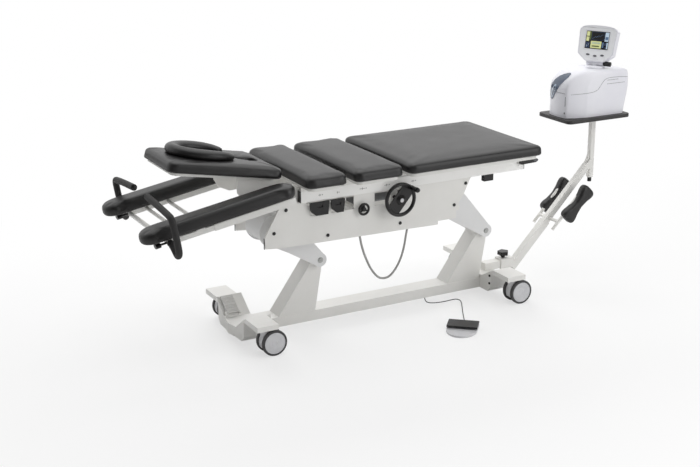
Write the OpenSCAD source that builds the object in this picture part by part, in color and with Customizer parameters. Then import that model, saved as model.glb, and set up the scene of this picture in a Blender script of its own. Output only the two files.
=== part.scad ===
// Traction table on casters, with a lift, a sliding section, arm rests and a mast for the traction unit.
// Millimetres, +Z up. The head end is at -X and the foot end, with the mast, at +X. The near side is at -Y.

/* [Cushions] */
// Height of the cushions' tops above the floor
cushion_top = 835; // [760:1:900]
// Width of the three table cushions
cushion_w = 686; // [560:1:760]
// Thickness of every table cushion
cushion_t = 56; // [40:1:70]
// Plan radius of a cushion's corners
cushion_corner_r = 40; // [20:1:60]
// Rounding of a cushion's upper edge
cushion_edge = 16; // [8:1:20]
// Rise of a cushion's middle above its upper edge
cushion_crown = 7; // [2:1:12]
// How far a cushion's sides pull in between the corners
cushion_draw = 5; // [0:1:10]
// Length of the chest cushion
thoracic_l = 217; // [180:1:240]
// Length of the lower back cushion
lumbar_l = 271; // [220:1:300]
// Length of the sliding leg cushion
long_l = 782; // [700:1:860]
// Gap between the chest and lower back cushions
thoracic_gap = 28; // [10:1:40]
// Gap between the lower back cushion and the sliding one
lumbar_gap = 19; // [10:1:40]
// Thickness of the boards that carry the cushions
board_t = 16; // [10:1:18]
// Step of a board's edge inside its cushion's edge
board_inset = 26; // [15:1:40]

/* [Rails and side panels] */
// Height of the rails' underside above the floor
rail_z = 676; // [660:1:690]
// Height of a rail
rail_h = 55; // [45:1:60]
// Width of a rail
rail_w = 30; // [24:1:34]
// Wall of a rail
rail_wall = 3; // [2:0.5:5]
// Distance from the centre line to a rail's outer face
rail_out = 180; // [175:1:200]
// Rails' end at the head
rail_x0 = -173; // [-200:1:-150]
// Rails' end at the foot
rail_x1 = 1088; // [1060:1:1095]
// Distance from the centre line to a side panel's outer face
panel_out = 168; // [160:1:172]
// Thickness of a side panel
panel_t = 6; // [4:1:8]
// Diameter of the panel's screw caps
cap_d = 17; // [12:1:20]
// Height of a panel window
window_h = 72; // [50:1:80]

/* [Lift] */
// Height of the arms' lower pivots above the floor
pivot_z = 345; // [335:1:355]
// Place of the head arm's lower pivot along the table
pivot_x = -24; // [-40:1:-10]
// Distance between the two legs
leg_pitch = 962; // [940:1:980]
// Length of a lift arm between its pivots
lift_l = 298; // [290:1:302]
// Slope of the lift arms at rest, in degrees
lift_rest = 37; // [34:1:39]
// Radius of the pivot shafts
shaft_r = 15; // [10:1:18]
// Radial running clearance of every bearing
running = 0.06; // [0.03:0.01:0.09]
// Radius of a lift arm's upper end
lobe_r = 80; // [70:1:82]
// Radius of a lift arm's lower end
heel_r = 34; // [30:1:40]
// Thickness of a lift arm's plates
arm_plate_t = 12; // [8:1:14]
// Distance from the centre line to an arm's outer face
lift_out = 80; // [76:1:84]
// Radius from the foot arm's upper pivot to the drive pin
horn_l = 75; // [72:1:78]
// Radius of the lift actuator's tube
actuator_r = 20; // [16:1:22]
// Radius of the actuator's rod
rod_r = 11; // [8:1:12]

/* [Base] */
// Height of the beam's underside above the floor
beam_z = 30; // [28:1:36]
// Height of the base beam
beam_h = 52; // [45:1:60]
// Width of the base beam
beam_w = 104; // [95:1:106]
// Wall of the base beam
beam_wall = 5; // [3:1:8]
// Beam's end at the head
beam_x0 = -335; // [-340:1:-330]
// Beam's end at the foot
beam_x1 = 1000; // [990:1:1010]
// Width of a leg across the table
leg_w = 100; // [92:1:102]
// Radius of a leg's top
leg_top_r = 30; // [26:1:34]
// Distance from the centre line to a caster's stem
stem_y = 259; // [252:1:275]
// Place of the head casters' stems along the table
stem_head_x = -412; // [-420:1:-405]
// Place of the foot casters' stems along the table
stem_foot_x = 981; // [975:1:990]

/* [Casters] */
// Diameter of a caster wheel
wheel_d = 125; // [115:1:125]
// Width of one wheel of a twin caster
wheel_w = 20; // [16:1:22]
// Gap between the twin wheels
wheel_gap = 42; // [38:1:46]
// Distance from a caster's stem to its axle
trail = 36; // [30:1:40]
// Radius of a caster's axle
axle_r = 6; // [4:1:8]
// Radius of a caster's stem
stem_r = 8; // [6:1:10]

/* [Head section] */
// Length of the head cushion
head_l = 558; // [500:1:600]
// Width of the head cushion at its table end
head_w = 380; // [340:1:400]
// Share by which the head cushion narrows towards its far end
head_taper_share = 0.08; // [0:0.01:0.2]
// Thickness of the head cushion
head_t = 54; // [44:1:62]
// Upward tilt of the head cushion, in degrees
head_tilt = 10; // [6:1:12]
// Gap between the head cushion and the chest cushion
head_gap = 38; // [36:1:50]
// Width of the breathing slot
slot_w = 74; // [60:1:90]
// Length of the breathing slot
slot_l = 112; // [90:1:130]
// Distance of the slot from the cushion's table end
slot_in = 50; // [40:1:60]
// Outer length of the face pillow
pillow_l = 364; // [330:1:380]
// Outer width of the face pillow
pillow_w = 280; // [250:1:290]
// Width of the face pillow's roll
roll_w = 74; // [60:1:80]
// Height of the face pillow's roll
roll_h = 56; // [45:1:60]

/* [Arm rests] */
// Downward slope of the arm rests, in degrees
arm_slope = 9.8; // [8:0.1:11]
// Distance from the centre line to an arm rest's middle
arm_y = 245; // [240:1:255]
// Length of an arm pad
arm_pad_l = 755; // [700:1:780]
// Width of an arm pad
arm_pad_w = 125; // [110:1:130]
// Thickness of an arm pad
arm_pad_t = 57; // [50:1:60]
// Height of an arm rest's outer tube
arm_tube_h = 30; // [28:1:34]
// Width of an arm rest's outer tube
arm_tube_w = 24; // [22:1:28]
// Radius of the arm rests' cross shaft
arm_shaft_r = 11; // [9:1:12]
// Diameter of a hand grip's foam
grip_d = 31; // [26:1:33]

/* [Mast] */
// Rise of the mast tubes, in degrees
mast_rise = 46; // [44:1:48]
// Depth of the lower mast tube
mast_depth = 42; // [38:1:46]
// Width of the lower mast tube
mast_w = 38; // [34:1:44]
// Wall of the lower mast tube
mast_wall = 3.5; // [2:0.5:5]
// Length of the lower mast tube
mast_l = 300; // [280:1:310]
// Side of the upright post
post_w = 26; // [24:1:32]
// Radius of the shelf's swivel pin
shelf_pin_r = 9; // [7:1:10]
// Height of the shelf's top above the floor
shelf_top = 878; // [850:1:900]
// Thickness of the shelf
shelf_t = 19; // [15:1:25]
// Length of the shelf
shelf_l = 373; // [340:1:390]
// Width of the shelf
shelf_w = 272; // [250:1:290]
// Length of a stored bolster
bolster_l = 226; // [200:1:240]
// Width of a bolster at its ends
bolster_w = 115; // [90:1:120]
// Thickness of a bolster
bolster_t = 48; // [40:1:52]

/* [Traction unit] */
// Length of the traction unit
unit_l = 376; // [350:1:385]
// Width of the traction unit
unit_w = 214; // [190:1:230]
// Height of the traction unit
unit_h = 238; // [220:1:250]
// Width of the display
display_w = 226; // [200:1:235]
// Height of the display
display_h = 202; // [180:1:210]
// Thickness of the display
display_t = 40; // [30:1:46]
// Turn of the display towards the near side, in degrees
display_turn = 28; // [0:1:40]
// Backward tilt of the display, in degrees
display_tilt = 16; // [8:1:20]
// Diameter of a display button
button_d = 13; // [10:1:16]

/* [Controls] */
// Diameter of the large handwheel
handwheel_d = 170; // [150:1:180]
// Diameter of the small handwheel
small_wheel_d = 64; // [55:1:70]
// Diameter of the spinner handle
spinner_d = 25; // [20:1:28]
// Length of the spinner handle
spinner_l = 72; // [50:1:90]
// Length of the foot switch
switch_l = 150; // [140:1:160]
// Width of the foot switch's tread
switch_w = 90; // [80:1:100]
// Turn of the foot switch on the floor, in degrees
switch_turn = -41; // [-45:1:-37]
// Diameter of the foot switch cord
cord_d = 4.5; // [4:0.1:5]
// Diameter of the hanging cable
cable_d = 11; // [9:1:12]

/* [Hidden] */

$fn = 48;
fine = 96;
hull_facets = 32;

// Overrun of every cut, and the gap that keeps pieces of different bodies apart
over = 1;
seat = 0.3;
free_gap = 3;

// Outline of a side panel
panel_x0 = -357;
panel_x1 = 776;
panel_strip_z = 529;
panel_peak = [-262, 692];
panel_low_z = [477, 470, 466, 455, 473];
panel_low_x = [-353, -280, 284, 587];
panel_foot = [692, 525];
panel_waist = [738, 597];

// Places along the table, from the chest cushion's foot edge at zero
lumbar_x0 = thoracic_gap;
lumbar_x1 = lumbar_x0 + lumbar_l;
long_x0 = lumbar_x1 + lumbar_gap;
long_x1 = long_x0 + long_l;
cushion_bottom = cushion_top - cushion_t;
board_z = cushion_bottom - board_t;
rail_top = rail_z + rail_h;
rail_in = rail_out - rail_w;
panel_in = panel_out - panel_t;

// Lift: the arm's rise and the two upper pivots
lift_dx = lift_l * cos(lift_rest);
lift_dz = lift_l * sin(lift_rest);
upper_x = pivot_x - lift_dx;
upper_z = pivot_z + lift_dz;
bore_r = shaft_r + running;
leg_gap = 4;
boss_wall = 10;
lift_in = leg_w / 2 + leg_gap;
boss_r = shaft_r + boss_wall;

// Casters: the hood fills the gap between the wheels, and its cap meets the cross member
wheel_r = wheel_d / 2;
hood_step = 6;
hood_r = wheel_r - hood_step;
hood_w = wheel_gap - free_gap;
cap_z = wheel_d + hood_step;
cap_t = 25;
cap_round = 10;
stem_top = cap_z + cap_t - cap_round;
cap_reach = 44;
axle_boss_r = 16;
swing_r = norm([trail + wheel_r, wheel_gap / 2 + wheel_w]);
tab_l = 10;

// Cross members: half lengths of the low part, and its widths along the table
low_y = stem_y - swing_r - free_gap;
slope_y0 = 66;
slope_y1 = 168;
member_wall = 6;
member_back_share = 0.62;
foot_member_x0 = beam_x1 - 48;
foot_member_x1 = beam_x1 + 68;
foot_member_top = beam_z + beam_h + 18;
tongue_w = 48;
tongue_z0 = foot_member_top;
tongue_h = 40;
tongue_x1 = 1142;
block_x0 = 1077;
block_x1 = 1158;
block_wall = 6;
pedal_w = 62;
pedal_t = 9;
pedal_rib = 3;
pedal_pin_r = 3.5;
pedal_x = stem_head_x - 10;
pedal_ribs = 7;
pedal_pin_at = 2 * pedal_t;
pedal_mid = pedal_t;
pedal_rise = atan2(cap_z + cap_t - beam_z - beam_h, slope_y1 - slope_y0);
pedal_l = norm([cap_z + cap_t - beam_z - beam_h, slope_y1 - slope_y0]) - pedal_t;

// Head section, hinged on brackets beside the rails
hinge_x = -300;
hinge_z = 716;
hinge_r = 6;
bracket_in = rail_in - 10;
bracket_x0 = -341;
bracket_top = 745;
head_board_t = 12;
head_end_x = -(thoracic_l + head_gap);
head_end_z = cushion_top + 22;
gusset_t = 8;
gusset_l = 437;
gusset_in = bracket_in - gusset_t - seat;

// Arm rests, drawn level from their cross shaft and then sloped down to the head
arm_shaft_x = -255;
arm_shaft_z = 719;
arm_tube_end = 392;
arm_tube_wall = 3;
arm_tube_out = arm_y + 10 + arm_tube_w / 2;
inner_h = arm_tube_h - 2 * arm_tube_wall - 2 * seat;
inner_w = arm_tube_w - 2 * arm_tube_wall - 2 * seat;
inner_in = 205;
bar_places = [413, 522, 606];
bar_r = 11;
stub_r = 7;
stub_l = 40;
bar_half = arm_tube_out;
pad_x0 = 731;
pad_z = 54;
post_places = [455, 575];
post_l = 40;
knob_reach = 58;
knob_y = arm_y + 5;
knob_screw_r = 5;
knob_l = 24;
grip_top_in = 85;
grip_out = 366;
grip_high_in = 171;
grip_high_out = 146;
grip_low = -44;
grip_bend = 34;

// Mast, measured along its tube from the socket block
mast_x = 1168;
mast_z = 96;
mast_low = 12;
upper_depth = mast_depth - 2 * mast_wall - 2 * seat;
upper_w = mast_w - 2 * mast_wall - 2 * seat;
upper_in = 180;
wall = 3;
post_x = 1664;
post_z0 = 518;
mast_knob_r = 11;
mast_knob_h = 25;
mast_screw_r = 5;
mast_screw_l = 20;
gusset_h = 34;
t_knob_x = 1108;
t_knob_d = 60;
t_knob_h = 44;
star_t = 20;
t_stem_r = 10;
t_screw_r = 5;
shelf_x0 = 1410;
shelf_corner_r = 28;
shelf_pin_l = 90;
flange_t = 4;
post_top = shelf_top - shelf_t - flange_t - seat;
flange_r = 45;
rod_y = 82;
rod_t = -10;
bolster_rod_r = 9;
rod_s0 = 272;
bar_s = 325;
bolster_s = 466;
bolster_y = 92;
bolster_mid = -32;
bolster_edge = 10;

// Traction unit on the shelf, and its display on a neck
unit_x0 = 1433;
unit_z0 = shelf_top;
unit_nose = 96;
neck_x = post_x - 4;
neck_r = 24;
neck_t = 8;
neck_pin_r = 8;
neck_pin_l = 20;
lug_x = 11;
lug_y = 12;
cheek_t = 12;
tilt_r = 5;
tilt_z = unit_z0 + unit_h + 22;
display_low = 15;
screen_w = 164;
screen_h = 100;
screen_t = 3;
screen_up = 22;
button_up = -52;
button_pitch = 34;
button_in = 6;
button_out = 3;
knob_d = 24;
knob_in = 90;
knob_len = 40;

// Handwheels on the near side
handwheel_x = 338;
handwheel_z = 631;
handwheel_y = panel_out + 52;
rim_r = 9;
web_t = 7;
hub_r = 17;
hub_shaft_r = 9;
bearing_l = 34;
spinner_at = 50;
spinner_pin_r = 5;
spinner_gap = 4;
small_wheel_x = 155;
small_wheel_z = 602;
small_wheel_t = 14;
small_shaft_r = 6;
small_standoff = 14;
paddle_l = [104, 76];
paddle_x = [-131, -21];
paddle_h = 64;
paddle_t = 12;
paddle_gap = 8;
tongue_t = 16;
paddle_drop = 6;
paddle_lug_t = 6;
paddle_pin_r = 2.5;
paddle_pin_y = panel_out + paddle_gap + paddle_pin_r;
paddle_pin_z = rail_z - 2 * paddle_drop;
window_x = [-120, -10, 225];
window_l = [75, 123, 175];
lever_l = 100;
lever_h = 25;
lever_t = 12;
lever_pin_r = 5;
stop_block = [55, 26, 34];
stop_block_x = 848;

// Cross tubes of the platform and the actuator's two mounts
tube_side = 40;
cross_x = [100, 470];
cross_z = 570;
rod_z = cross_z + tube_side / 2;
yoke_t = 8;
yoke_gap = 11;
yoke_leg = 14;
drive_pin_r = 7;
drive_share = 0.88;
drive_slack = 3.6;
horn_t = 14;
horn_end_r = 13;
horn_rest = 73.5;
motor_r = 34;
collar_r = 32;
motor_l = 90;
yoke_x = leg_pitch + upper_x + horn_l * drive_share * (90 - horn_rest) * PI / 180;

// Foot switch and the routes of the two cords, laid by hand
switch_x = 574;
switch_y = -428;
switch_front = 91;
switch_h = 9;
tread_t = 9;
tread_gap = 6;
pin_r = 2.5;
gland_r = 6;
gland_l = 7;
gland_place = [612, -14];
relief_w = 10;
relief_l = 7;
rocker_r = 6;
rocker_l = 40;
rocker_end = 13;
CORD = [[612, -14, 23], [612, -15, 16], [611, -20, 8], [609, -31, 3], [607, -45, 2.3], [613, -61, 2.3],
  [634, -75, 2.3], [665, -81, 2.3], [700, -83, 2.3], [735, -81, 2.3], [757, -83, 2.3], [768, -95, 2.3],
  [767, -114, 2.3], [755, -142, 2.3], [730, -185, 2.3], [701, -233, 2.3], [670, -286, 2.3],
  [644, -332, 2.3], [628, -360, 3], [617, -378, 4], [607, -390, 4]];
CABLE = [[122, -130, 570], [126, -130, 540], [143, -130, 502], [161, -130, 462], [174, -130, 405],
  [185, -130, 368], [199, -130, 331], [228, -130, 272], [262, -130, 229], [293, -130, 213],
  [331, -130, 217], [367, -130, 250], [397, -130, 302], [415, -130, 360], [426, -130, 420],
  [437, -130, 466], [455, -130, 504], [473, -130, 536], [480, -130, 570]];

// Middle of the whole object seen from above, which becomes the origin
switch_low = switch_y - switch_w / 2 * cos(switch_turn)
  - norm([switch_l / 2 * sin(switch_turn), switch_front * cos(switch_turn)]);
mid_x = (arm_world(-pad_x0, pad_z + arm_pad_t / 2 - cushion_crown - cushion_edge).x + unit_x0 + unit_l) / 2;
mid_y = (grip_out + grip_d / 2 + switch_low) / 2;

function unit(v) = v / norm(v);
function at_angle(r, a) = [r * cos(a), r * sin(a)];
function arm_world(u, v) = [arm_shaft_x + u * cos(arm_slope) - v * sin(arm_slope),
  arm_shaft_z + u * sin(arm_slope) + v * cos(arm_slope)];

// Points of a smooth curve through a list of points, n for each stretch
function curve_point(a, b, c, d, t) =
  b + (c - a) * t / 2 + (2 * a - 5 * b + 4 * c - d) * t * t / 2 + (3 * b - a - 3 * c + d) * t * t * t / 2;
function smooth_route(p, n) = concat([for (i = [0:len(p) - 2]) for (k = [0:n - 1])
  curve_point(p[max(i - 1, 0)], p[i], p[i + 1], p[min(i + 2, len(p) - 1)], k / n)], [p[len(p) - 1]]);

// Rings of a tube along a route, each square to it and carried on from the last without twist
function headings(p) = [for (i = [0:len(p) - 1]) unit(p[min(i + 1, len(p) - 1)] - p[max(i - 1, 0)])];
function carried(t, n, i) =
  i == len(t) ? [] : let (m = unit(n - (n * t[i]) * t[i])) concat([m], carried(t, m, i + 1));
function tube_rings(p, r, sides, first) = let (t = headings(p), n = carried(t, first, 0))
  [for (i = [0:len(p) - 1]) [for (k = [0:sides - 1]) let (a = 360 * k / sides)
    p[i] + r * cos(a) * n[i] + r * sin(a) * cross(t[i], n[i])]];

// One outline of a cushion: round corners, and sides that pull in between them
corner_steps = 4;
side_steps = 4;
function cushion_ring(l, w, r, inset, draw, z) =
  let (hl = l / 2 - inset, hw = w / 2 - inset, rr = min(max(r - inset, r / 5), hl * 0.9, hw * 0.9))
  [for (c = [0:3]) let (sx = c == 0 || c == 3 ? 1 : -1, sy = c < 2 ? 1 : -1,
      corner = [sx * (hl - rr), sy * (hw - rr)], n = at_angle(1, 90 * (c + 1)),
      next = [(c == 1 || c == 3 ? sx : -sx) * (hl - rr), (c == 1 || c == 3 ? -sy : sy) * (hw - rr)])
    each concat([for (j = [0:corner_steps]) let (a = 90 * (c + j / corner_steps))
        [corner.x + rr * cos(a), corner.y + rr * sin(a), z]],
      [for (j = [1:side_steps - 1]) let (t = j / side_steps,
          p = (corner + rr * n) * (1 - t) + (next + rr * n) * t - 4 * t * (1 - t) * draw * n)
        [p.x, p.y, z]])];

// All outlines of a cushion from its underside to its crown
function cushion_rings(l, w, t, r, edge, crown, draw) =
 let (rim = t - crown, low = edge / 3, m = min(l, w), cap = -edge / 16)
 [cushion_ring(l, w, r, m * 0.44, cap, 0), cushion_ring(l, w, r, low, draw, 0),
  cushion_ring(l, w, r, 0, draw, low), cushion_ring(l, w, r, 0, draw, rim - edge),
  cushion_ring(l, w, r, edge * 0.3, draw, rim - edge * 0.3), cushion_ring(l, w, r, edge, draw, rim),
  cushion_ring(l, w, r, min(edge * 2.6, m * 0.25), draw / 2, t - crown * 0.45),
  cushion_ring(l, w, r, m * 0.32, 0, t - crown * 0.1), cushion_ring(l, w, r, m * 0.44, cap, t)];

function tapered(rings, l, share) =
  [for (ring = rings) [for (p = ring) [p.x, p.y * (1 + share * p.x / l), p.z]]];

module placed() {
  translate([-mid_x, -mid_y, 0])
    children();
}

module both_sides() {
  children();
  mirror([0, 1, 0])
    children();
}

module block(low, high) {
  translate(low)
    cube(high - low);
}

// Flat plate with an outline in x and z, between two places across the table
module plate_xz(outline, y0, y1) {
  translate([0, y1, 0])
    rotate([90, 0, 0])
      linear_extrude(y1 - y0)
        polygon(outline);
}

module shaft_y(x, z, r, y0, y1) {
  translate([x, y0, z])
    rotate([-90, 0, 0])
      cylinder(h = y1 - y0, r = r);
}

module shaft_z(x, y, r, z0, z1) {
  translate([x, y, z0])
    cylinder(h = z1 - z0, r = r);
}

module shaft_x(y, z, r, x0, x1) {
  translate([x0, y, z])
    rotate([0, 90, 0])
      cylinder(h = x1 - x0, r = r);
}

// Closed skin through a stack of rings
module loft(rings) {
  n = len(rings[0]);
  last = n * (len(rings) - 1);
  polyhedron([for (ring = rings) each ring], concat([for (k = [1:n - 2]) [0, k, k + 1]],
    [for (k = [1:n - 2]) [last, last + k + 1, last + k]],
    [for (i = [0:len(rings) - 2]) for (k = [0:n - 1]) let (a = i * n + k, b = i * n + (k + 1) % n)
      each [[a, a + n, b + n], [a, b + n, b]]]), convexity = 6);
}

module tube_between(low, high, t) {
  difference() {
    block(low, high);
    block([low.x - over, low.y + t, low.z + t], [high.x + over, high.y - t, high.z - t]);
  }
}

module rounded_plate(l, w, t, r) {
  linear_extrude(t) {
    square([l - 2 * r, w], center = true);
    square([l, w - 2 * r], center = true);
    for (sx = [-1, 1])
      for (sy = [-1, 1])
        translate([sx * (l / 2 - r), sy * (w / 2 - r)])
          circle(r);
  }
}

// Base frame: a box beam with two hollow leaning legs welded on it
leg_foot_share = [-2.15, -0.15];
leg_neck_share = [-0.43, 0.19];
module leg_outline(shrink) {
  dz = pivot_z - beam_z - beam_h;
  w = leg_w;
  polygon([[w * leg_foot_share[0] + shrink, -dz], [w * leg_foot_share[1] - shrink, -dz],
    [w * 0.23 - shrink, -dz * 0.12], [leg_top_r * 0.9 - shrink, leg_top_r * 0.3],
    [-leg_top_r * 0.8 + shrink, leg_top_r * 0.6], [w * leg_neck_share[0] + shrink, -dz * 0.09]]);
  if (shrink == 0)
    circle(leg_top_r);
}

module leg(x) {
  dz = pivot_z - beam_z - beam_h;
  difference() {
    translate([x, leg_w / 2, pivot_z])
      rotate([90, 0, 0])
        linear_extrude(leg_w)
          leg_outline(0);
    intersection() {
      translate([x, leg_w / 2 - beam_wall, pivot_z])
        rotate([90, 0, 0])
          linear_extrude(leg_w - 2 * beam_wall)
            leg_outline(3 * beam_wall);
      block([x - lift_l, -leg_w, beam_z + beam_h + beam_wall],
        [x + lift_l, leg_w, pivot_z - leg_top_r - 2 * beam_wall]);
    }
    shaft_y(x, pivot_z, bore_r, -leg_w, leg_w);
  }
}

module base_frame() {
  color("whitesmoke")
    placed() {
      tube_between([beam_x0, -beam_w / 2, beam_z], [beam_x1, beam_w / 2, beam_z + beam_h], beam_wall);
      leg(pivot_x);
      leg(pivot_x + leg_pitch);
    }
}

// Cross members: low in the middle, with raised ends that reach over the casters
module member_profile(top) {
  polygon([[0, beam_z], [low_y - cap_t, beam_z], [low_y, beam_z + cap_t], [low_y, cap_z],
    [stem_y + cap_reach, cap_z], [stem_y + cap_reach, cap_z + cap_t], [slope_y1, cap_z + cap_t],
    [slope_y0, top], [0, top]]);
}

module member(x0, x1, top) {
  translate([x0, 0, 0])
    rotate([90, 0, 90])
      linear_extrude(x1 - x0) {
        member_profile(top);
        mirror([1, 0])
          member_profile(top);
      }
}

head_nose = 70;
head_wing = 55;
module head_plan() {
  cap_x = cap_reach + cap_round;
  nose_x = stem_head_x - head_nose;
  linear_extrude(cap_z + 2 * cap_t) {
    polygon([[beam_x0, -slope_y1], [stem_head_x - cap_x, -slope_y1], [nose_x + cap_round, -head_wing],
      [nose_x, 0], [nose_x + cap_round, head_wing], [stem_head_x - cap_x, slope_y1],
      [beam_x0, slope_y1]]);
    for (side = [-1, 1])
      translate([stem_head_x, side * (slope_y1 + stem_y + cap_reach) / 2])
        offset(r = cap_round)
          square([2 * cap_reach, stem_y + cap_reach - slope_y1 - 2 * cap_round + 4 * cap_round],
            center = true);
  }
}

module cross_members() {
  top = beam_z + beam_h;
  foot_half = cap_reach + cap_round;
  color("whitesmoke")
    placed() {
      difference() {
        intersection() {
          member(stem_head_x - head_nose - over, beam_x0, top);
          head_plan();
        }
        block([stem_head_x - head_nose / 2, -slope_y0, beam_z - over],
          [beam_x0 - member_wall, slope_y0, top - member_wall]);
        for (side = [-1, 1])
          shaft_z(stem_head_x, side * stem_y, stem_r + running, cap_z - over, stem_top);
      }
      pedal_lugs();
      difference() {
        member(stem_foot_x - foot_half, stem_foot_x + foot_half, foot_member_top);
        block([stem_foot_x - foot_half - over, -beam_w / 2, beam_z - over],
          [beam_x1, beam_w / 2, beam_z + beam_h]);
        for (side = [-1, 1])
          shaft_z(stem_foot_x, side * stem_y, stem_r + running, cap_z - over, stem_top);
      }
      block([stem_foot_x, -tongue_w / 2, tongue_z0], [tongue_x1, tongue_w / 2, tongue_z0 + tongue_h]);
    }
}

// Brake pedal: a ribbed tread on the far slope, on a pin between two lugs at its lower edge
module on_slope() {
  translate([pedal_x, slope_y0, beam_z + beam_h])
    rotate([pedal_rise, 0, 0])
      children();
}

module pedal_lugs() {
  on_slope()
    for (side = [-1, 1])
      difference() {
        translate([side * (pedal_w / 2 + seat + pedal_t / 2), pedal_pin_at, pedal_t / 2])
          cube([pedal_t, 2 * pedal_t, 2 * pedal_t], center = true);
        translate([0, pedal_pin_at, pedal_mid])
          rotate([0, 90, 0])
            cylinder(h = 2 * pedal_w, r = pedal_pin_r + running, center = true);
      }
}

module brake_pedal() {
  color("gainsboro")
    placed()
      on_slope() {
        translate([0, pedal_pin_at, pedal_mid])
          rotate([0, 90, 0])
            cylinder(h = pedal_w + 2 * pedal_t, r = pedal_pin_r, center = true);
        block([-pedal_w / 2, pedal_pin_at, pedal_mid - pedal_t / 2],
          [pedal_w / 2, pedal_l, pedal_mid + pedal_t / 2]);
        for (k = [1:pedal_ribs])
          translate([0, pedal_l * k / (pedal_ribs + 1), pedal_mid])
            block([-pedal_w / 2, 0, 0], [pedal_w / 2, pedal_rib, pedal_t / 2 + pedal_rib]);
      }
}

module lower_pins() {
  color("silver")
    placed()
      for (x = [pivot_x, pivot_x + leg_pitch])
        shaft_y(x, pivot_z, shaft_r, -lift_out, lift_out);
}

// Casters: a hood with its stem, and twin wheels on one axle
module caster_place(foot, far) {
  placed()
    translate([foot ? stem_foot_x : stem_head_x, far ? stem_y : -stem_y, 0])
      children();
}

module caster_fork() {
  color("whitesmoke")
    difference() {
      union() {
        intersection() {
          shaft_y(trail, wheel_r, hood_r, -hood_w / 2, hood_w / 2);
          block([trail - hood_r, -hood_w, wheel_r - hood_r / 2], [trail + hood_r, hood_w, wheel_d]);
        }
        shaft_z(0, 0, stem_r, wheel_r, stem_top - over);
        shaft_z(0, 0, hood_w / 2, wheel_r, cap_z - free_gap);
        block([trail, -hood_w / 4, wheel_r - tab_l / 2],
          [trail + wheel_r + tab_l, hood_w / 4, wheel_r + tab_l / 2]);
      }
      shaft_y(trail, wheel_r, axle_r + running, -hood_w, hood_w);
    }
}

module caster_wheels() {
  color("dimgray") {
    shaft_y(trail, wheel_r, axle_r, -wheel_gap / 2 - wheel_w / 2, wheel_gap / 2 + wheel_w / 2);
    both_sides()
      translate([trail, wheel_gap / 2 + wheel_w, wheel_r])
        rotate([90, 0, 0])
          rotate_extrude($fn = fine)
            polygon([[0, wheel_w * 0.12], [wheel_r * 0.3, wheel_w * 0.06],
              [wheel_r * 0.78, wheel_w * 0.12], [wheel_r * 0.86, 0], [wheel_r * 0.95, 0],
              [wheel_r, wheel_w * 0.2], [wheel_r, wheel_w * 0.8], [wheel_r * 0.95, wheel_w],
              [wheel_r * 0.84, wheel_w], [wheel_r * 0.8, wheel_w * 0.7],
              [axle_boss_r, wheel_w * 0.7], [axle_boss_r, wheel_w], [0, wheel_w]]);
  }
}

module caster_fork_head_near() { caster_place(false, false) caster_fork(); }
module caster_fork_head_far() { caster_place(false, true) caster_fork(); }
module caster_fork_foot_near() { caster_place(true, false) caster_fork(); }
module caster_fork_foot_far() { caster_place(true, true) caster_fork(); }
module caster_wheels_head_near() { caster_place(false, false) caster_wheels(); }
module caster_wheels_head_far() { caster_place(false, true) caster_wheels(); }
module caster_wheels_foot_near() { caster_place(true, false) caster_wheels(); }
module caster_wheels_foot_far() { caster_place(true, true) caster_wheels(); }

// Lift arms: two plates each, bent at the elbow, with tubes round the pivots
module arm_outline() {
  polygon([[-heel_r * 0.25, -heel_r * 0.97], [heel_r * 0.8, -heel_r * 0.6], [heel_r * 0.9, heel_r * 0.4],
    [-lift_dx * 0.18, lift_dz * 0.56], [-lift_dx * 0.62, lift_dz * 1.26],
    [-lift_dx, lift_dz + lobe_r], [-lift_dx - lobe_r * 0.95, lift_dz - lobe_r * 0.31],
    [-lift_dx, lift_dz - lobe_r], [-lift_dx * 0.72, lift_dz * 0.36], [-lift_dx * 0.44, lift_dz * 0.14]]);
  circle(heel_r, $fn = fine);
  translate([-lift_dx, lift_dz])
    circle(lobe_r, $fn = fine);
}

module arm_plates(x) {
  both_sides()
    translate([x, lift_out, pivot_z])
      rotate([90, 0, 0])
        linear_extrude(arm_plate_t)
          arm_outline();
}

module lift_arm(x, slack) {
  difference() {
    union() {
      arm_plates(x);
      shaft_y(x - lift_dx, upper_z, boss_r, arm_plate_t - lift_out, lift_out - arm_plate_t);
      both_sides()
        shaft_y(x, pivot_z, boss_r, lift_in, lift_out - arm_plate_t);
      children();
    }
    shaft_y(x - lift_dx, upper_z, bore_r + slack, -panel_out, panel_out);
    shaft_y(x, pivot_z, bore_r, -panel_out, panel_out);
  }
}

// The head arm's upper end is closed by a curved wall
module lift_arm_head() {
  color("gainsboro")
    placed()
      lift_arm(pivot_x, 0)
        translate([upper_x, lift_out - arm_plate_t, upper_z])
          rotate([90, 0, 0])
            rotate([0, 0, 60])
              rotate_extrude(angle = 145, $fn = fine)
                translate([lobe_r - arm_plate_t, 0])
                  square([arm_plate_t - over, 2 * (lift_out - arm_plate_t)]);
}

// The foot arm carries the horn that the actuator pushes
module lift_arm_foot() {
  horn = at_angle(horn_l, horn_rest);
  x = upper_x + leg_pitch;
  color("gainsboro")
    placed()
      lift_arm(pivot_x + leg_pitch, running * 5) {
        translate([x, horn_t / 2, upper_z])
          rotate([90, -horn_rest, 0])
            linear_extrude(horn_t) {
              polygon([[0, boss_r * 0.8], [0, -boss_r * 0.8], [horn_l, -horn_end_r], [horn_l, horn_end_r]]);
              translate([horn_l, 0])
                circle(horn_end_r);
            }
        shaft_y(x + horn.x, upper_z + horn.y, drive_pin_r, -yoke_gap - yoke_t, yoke_gap + yoke_t);
      }
}

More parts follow.
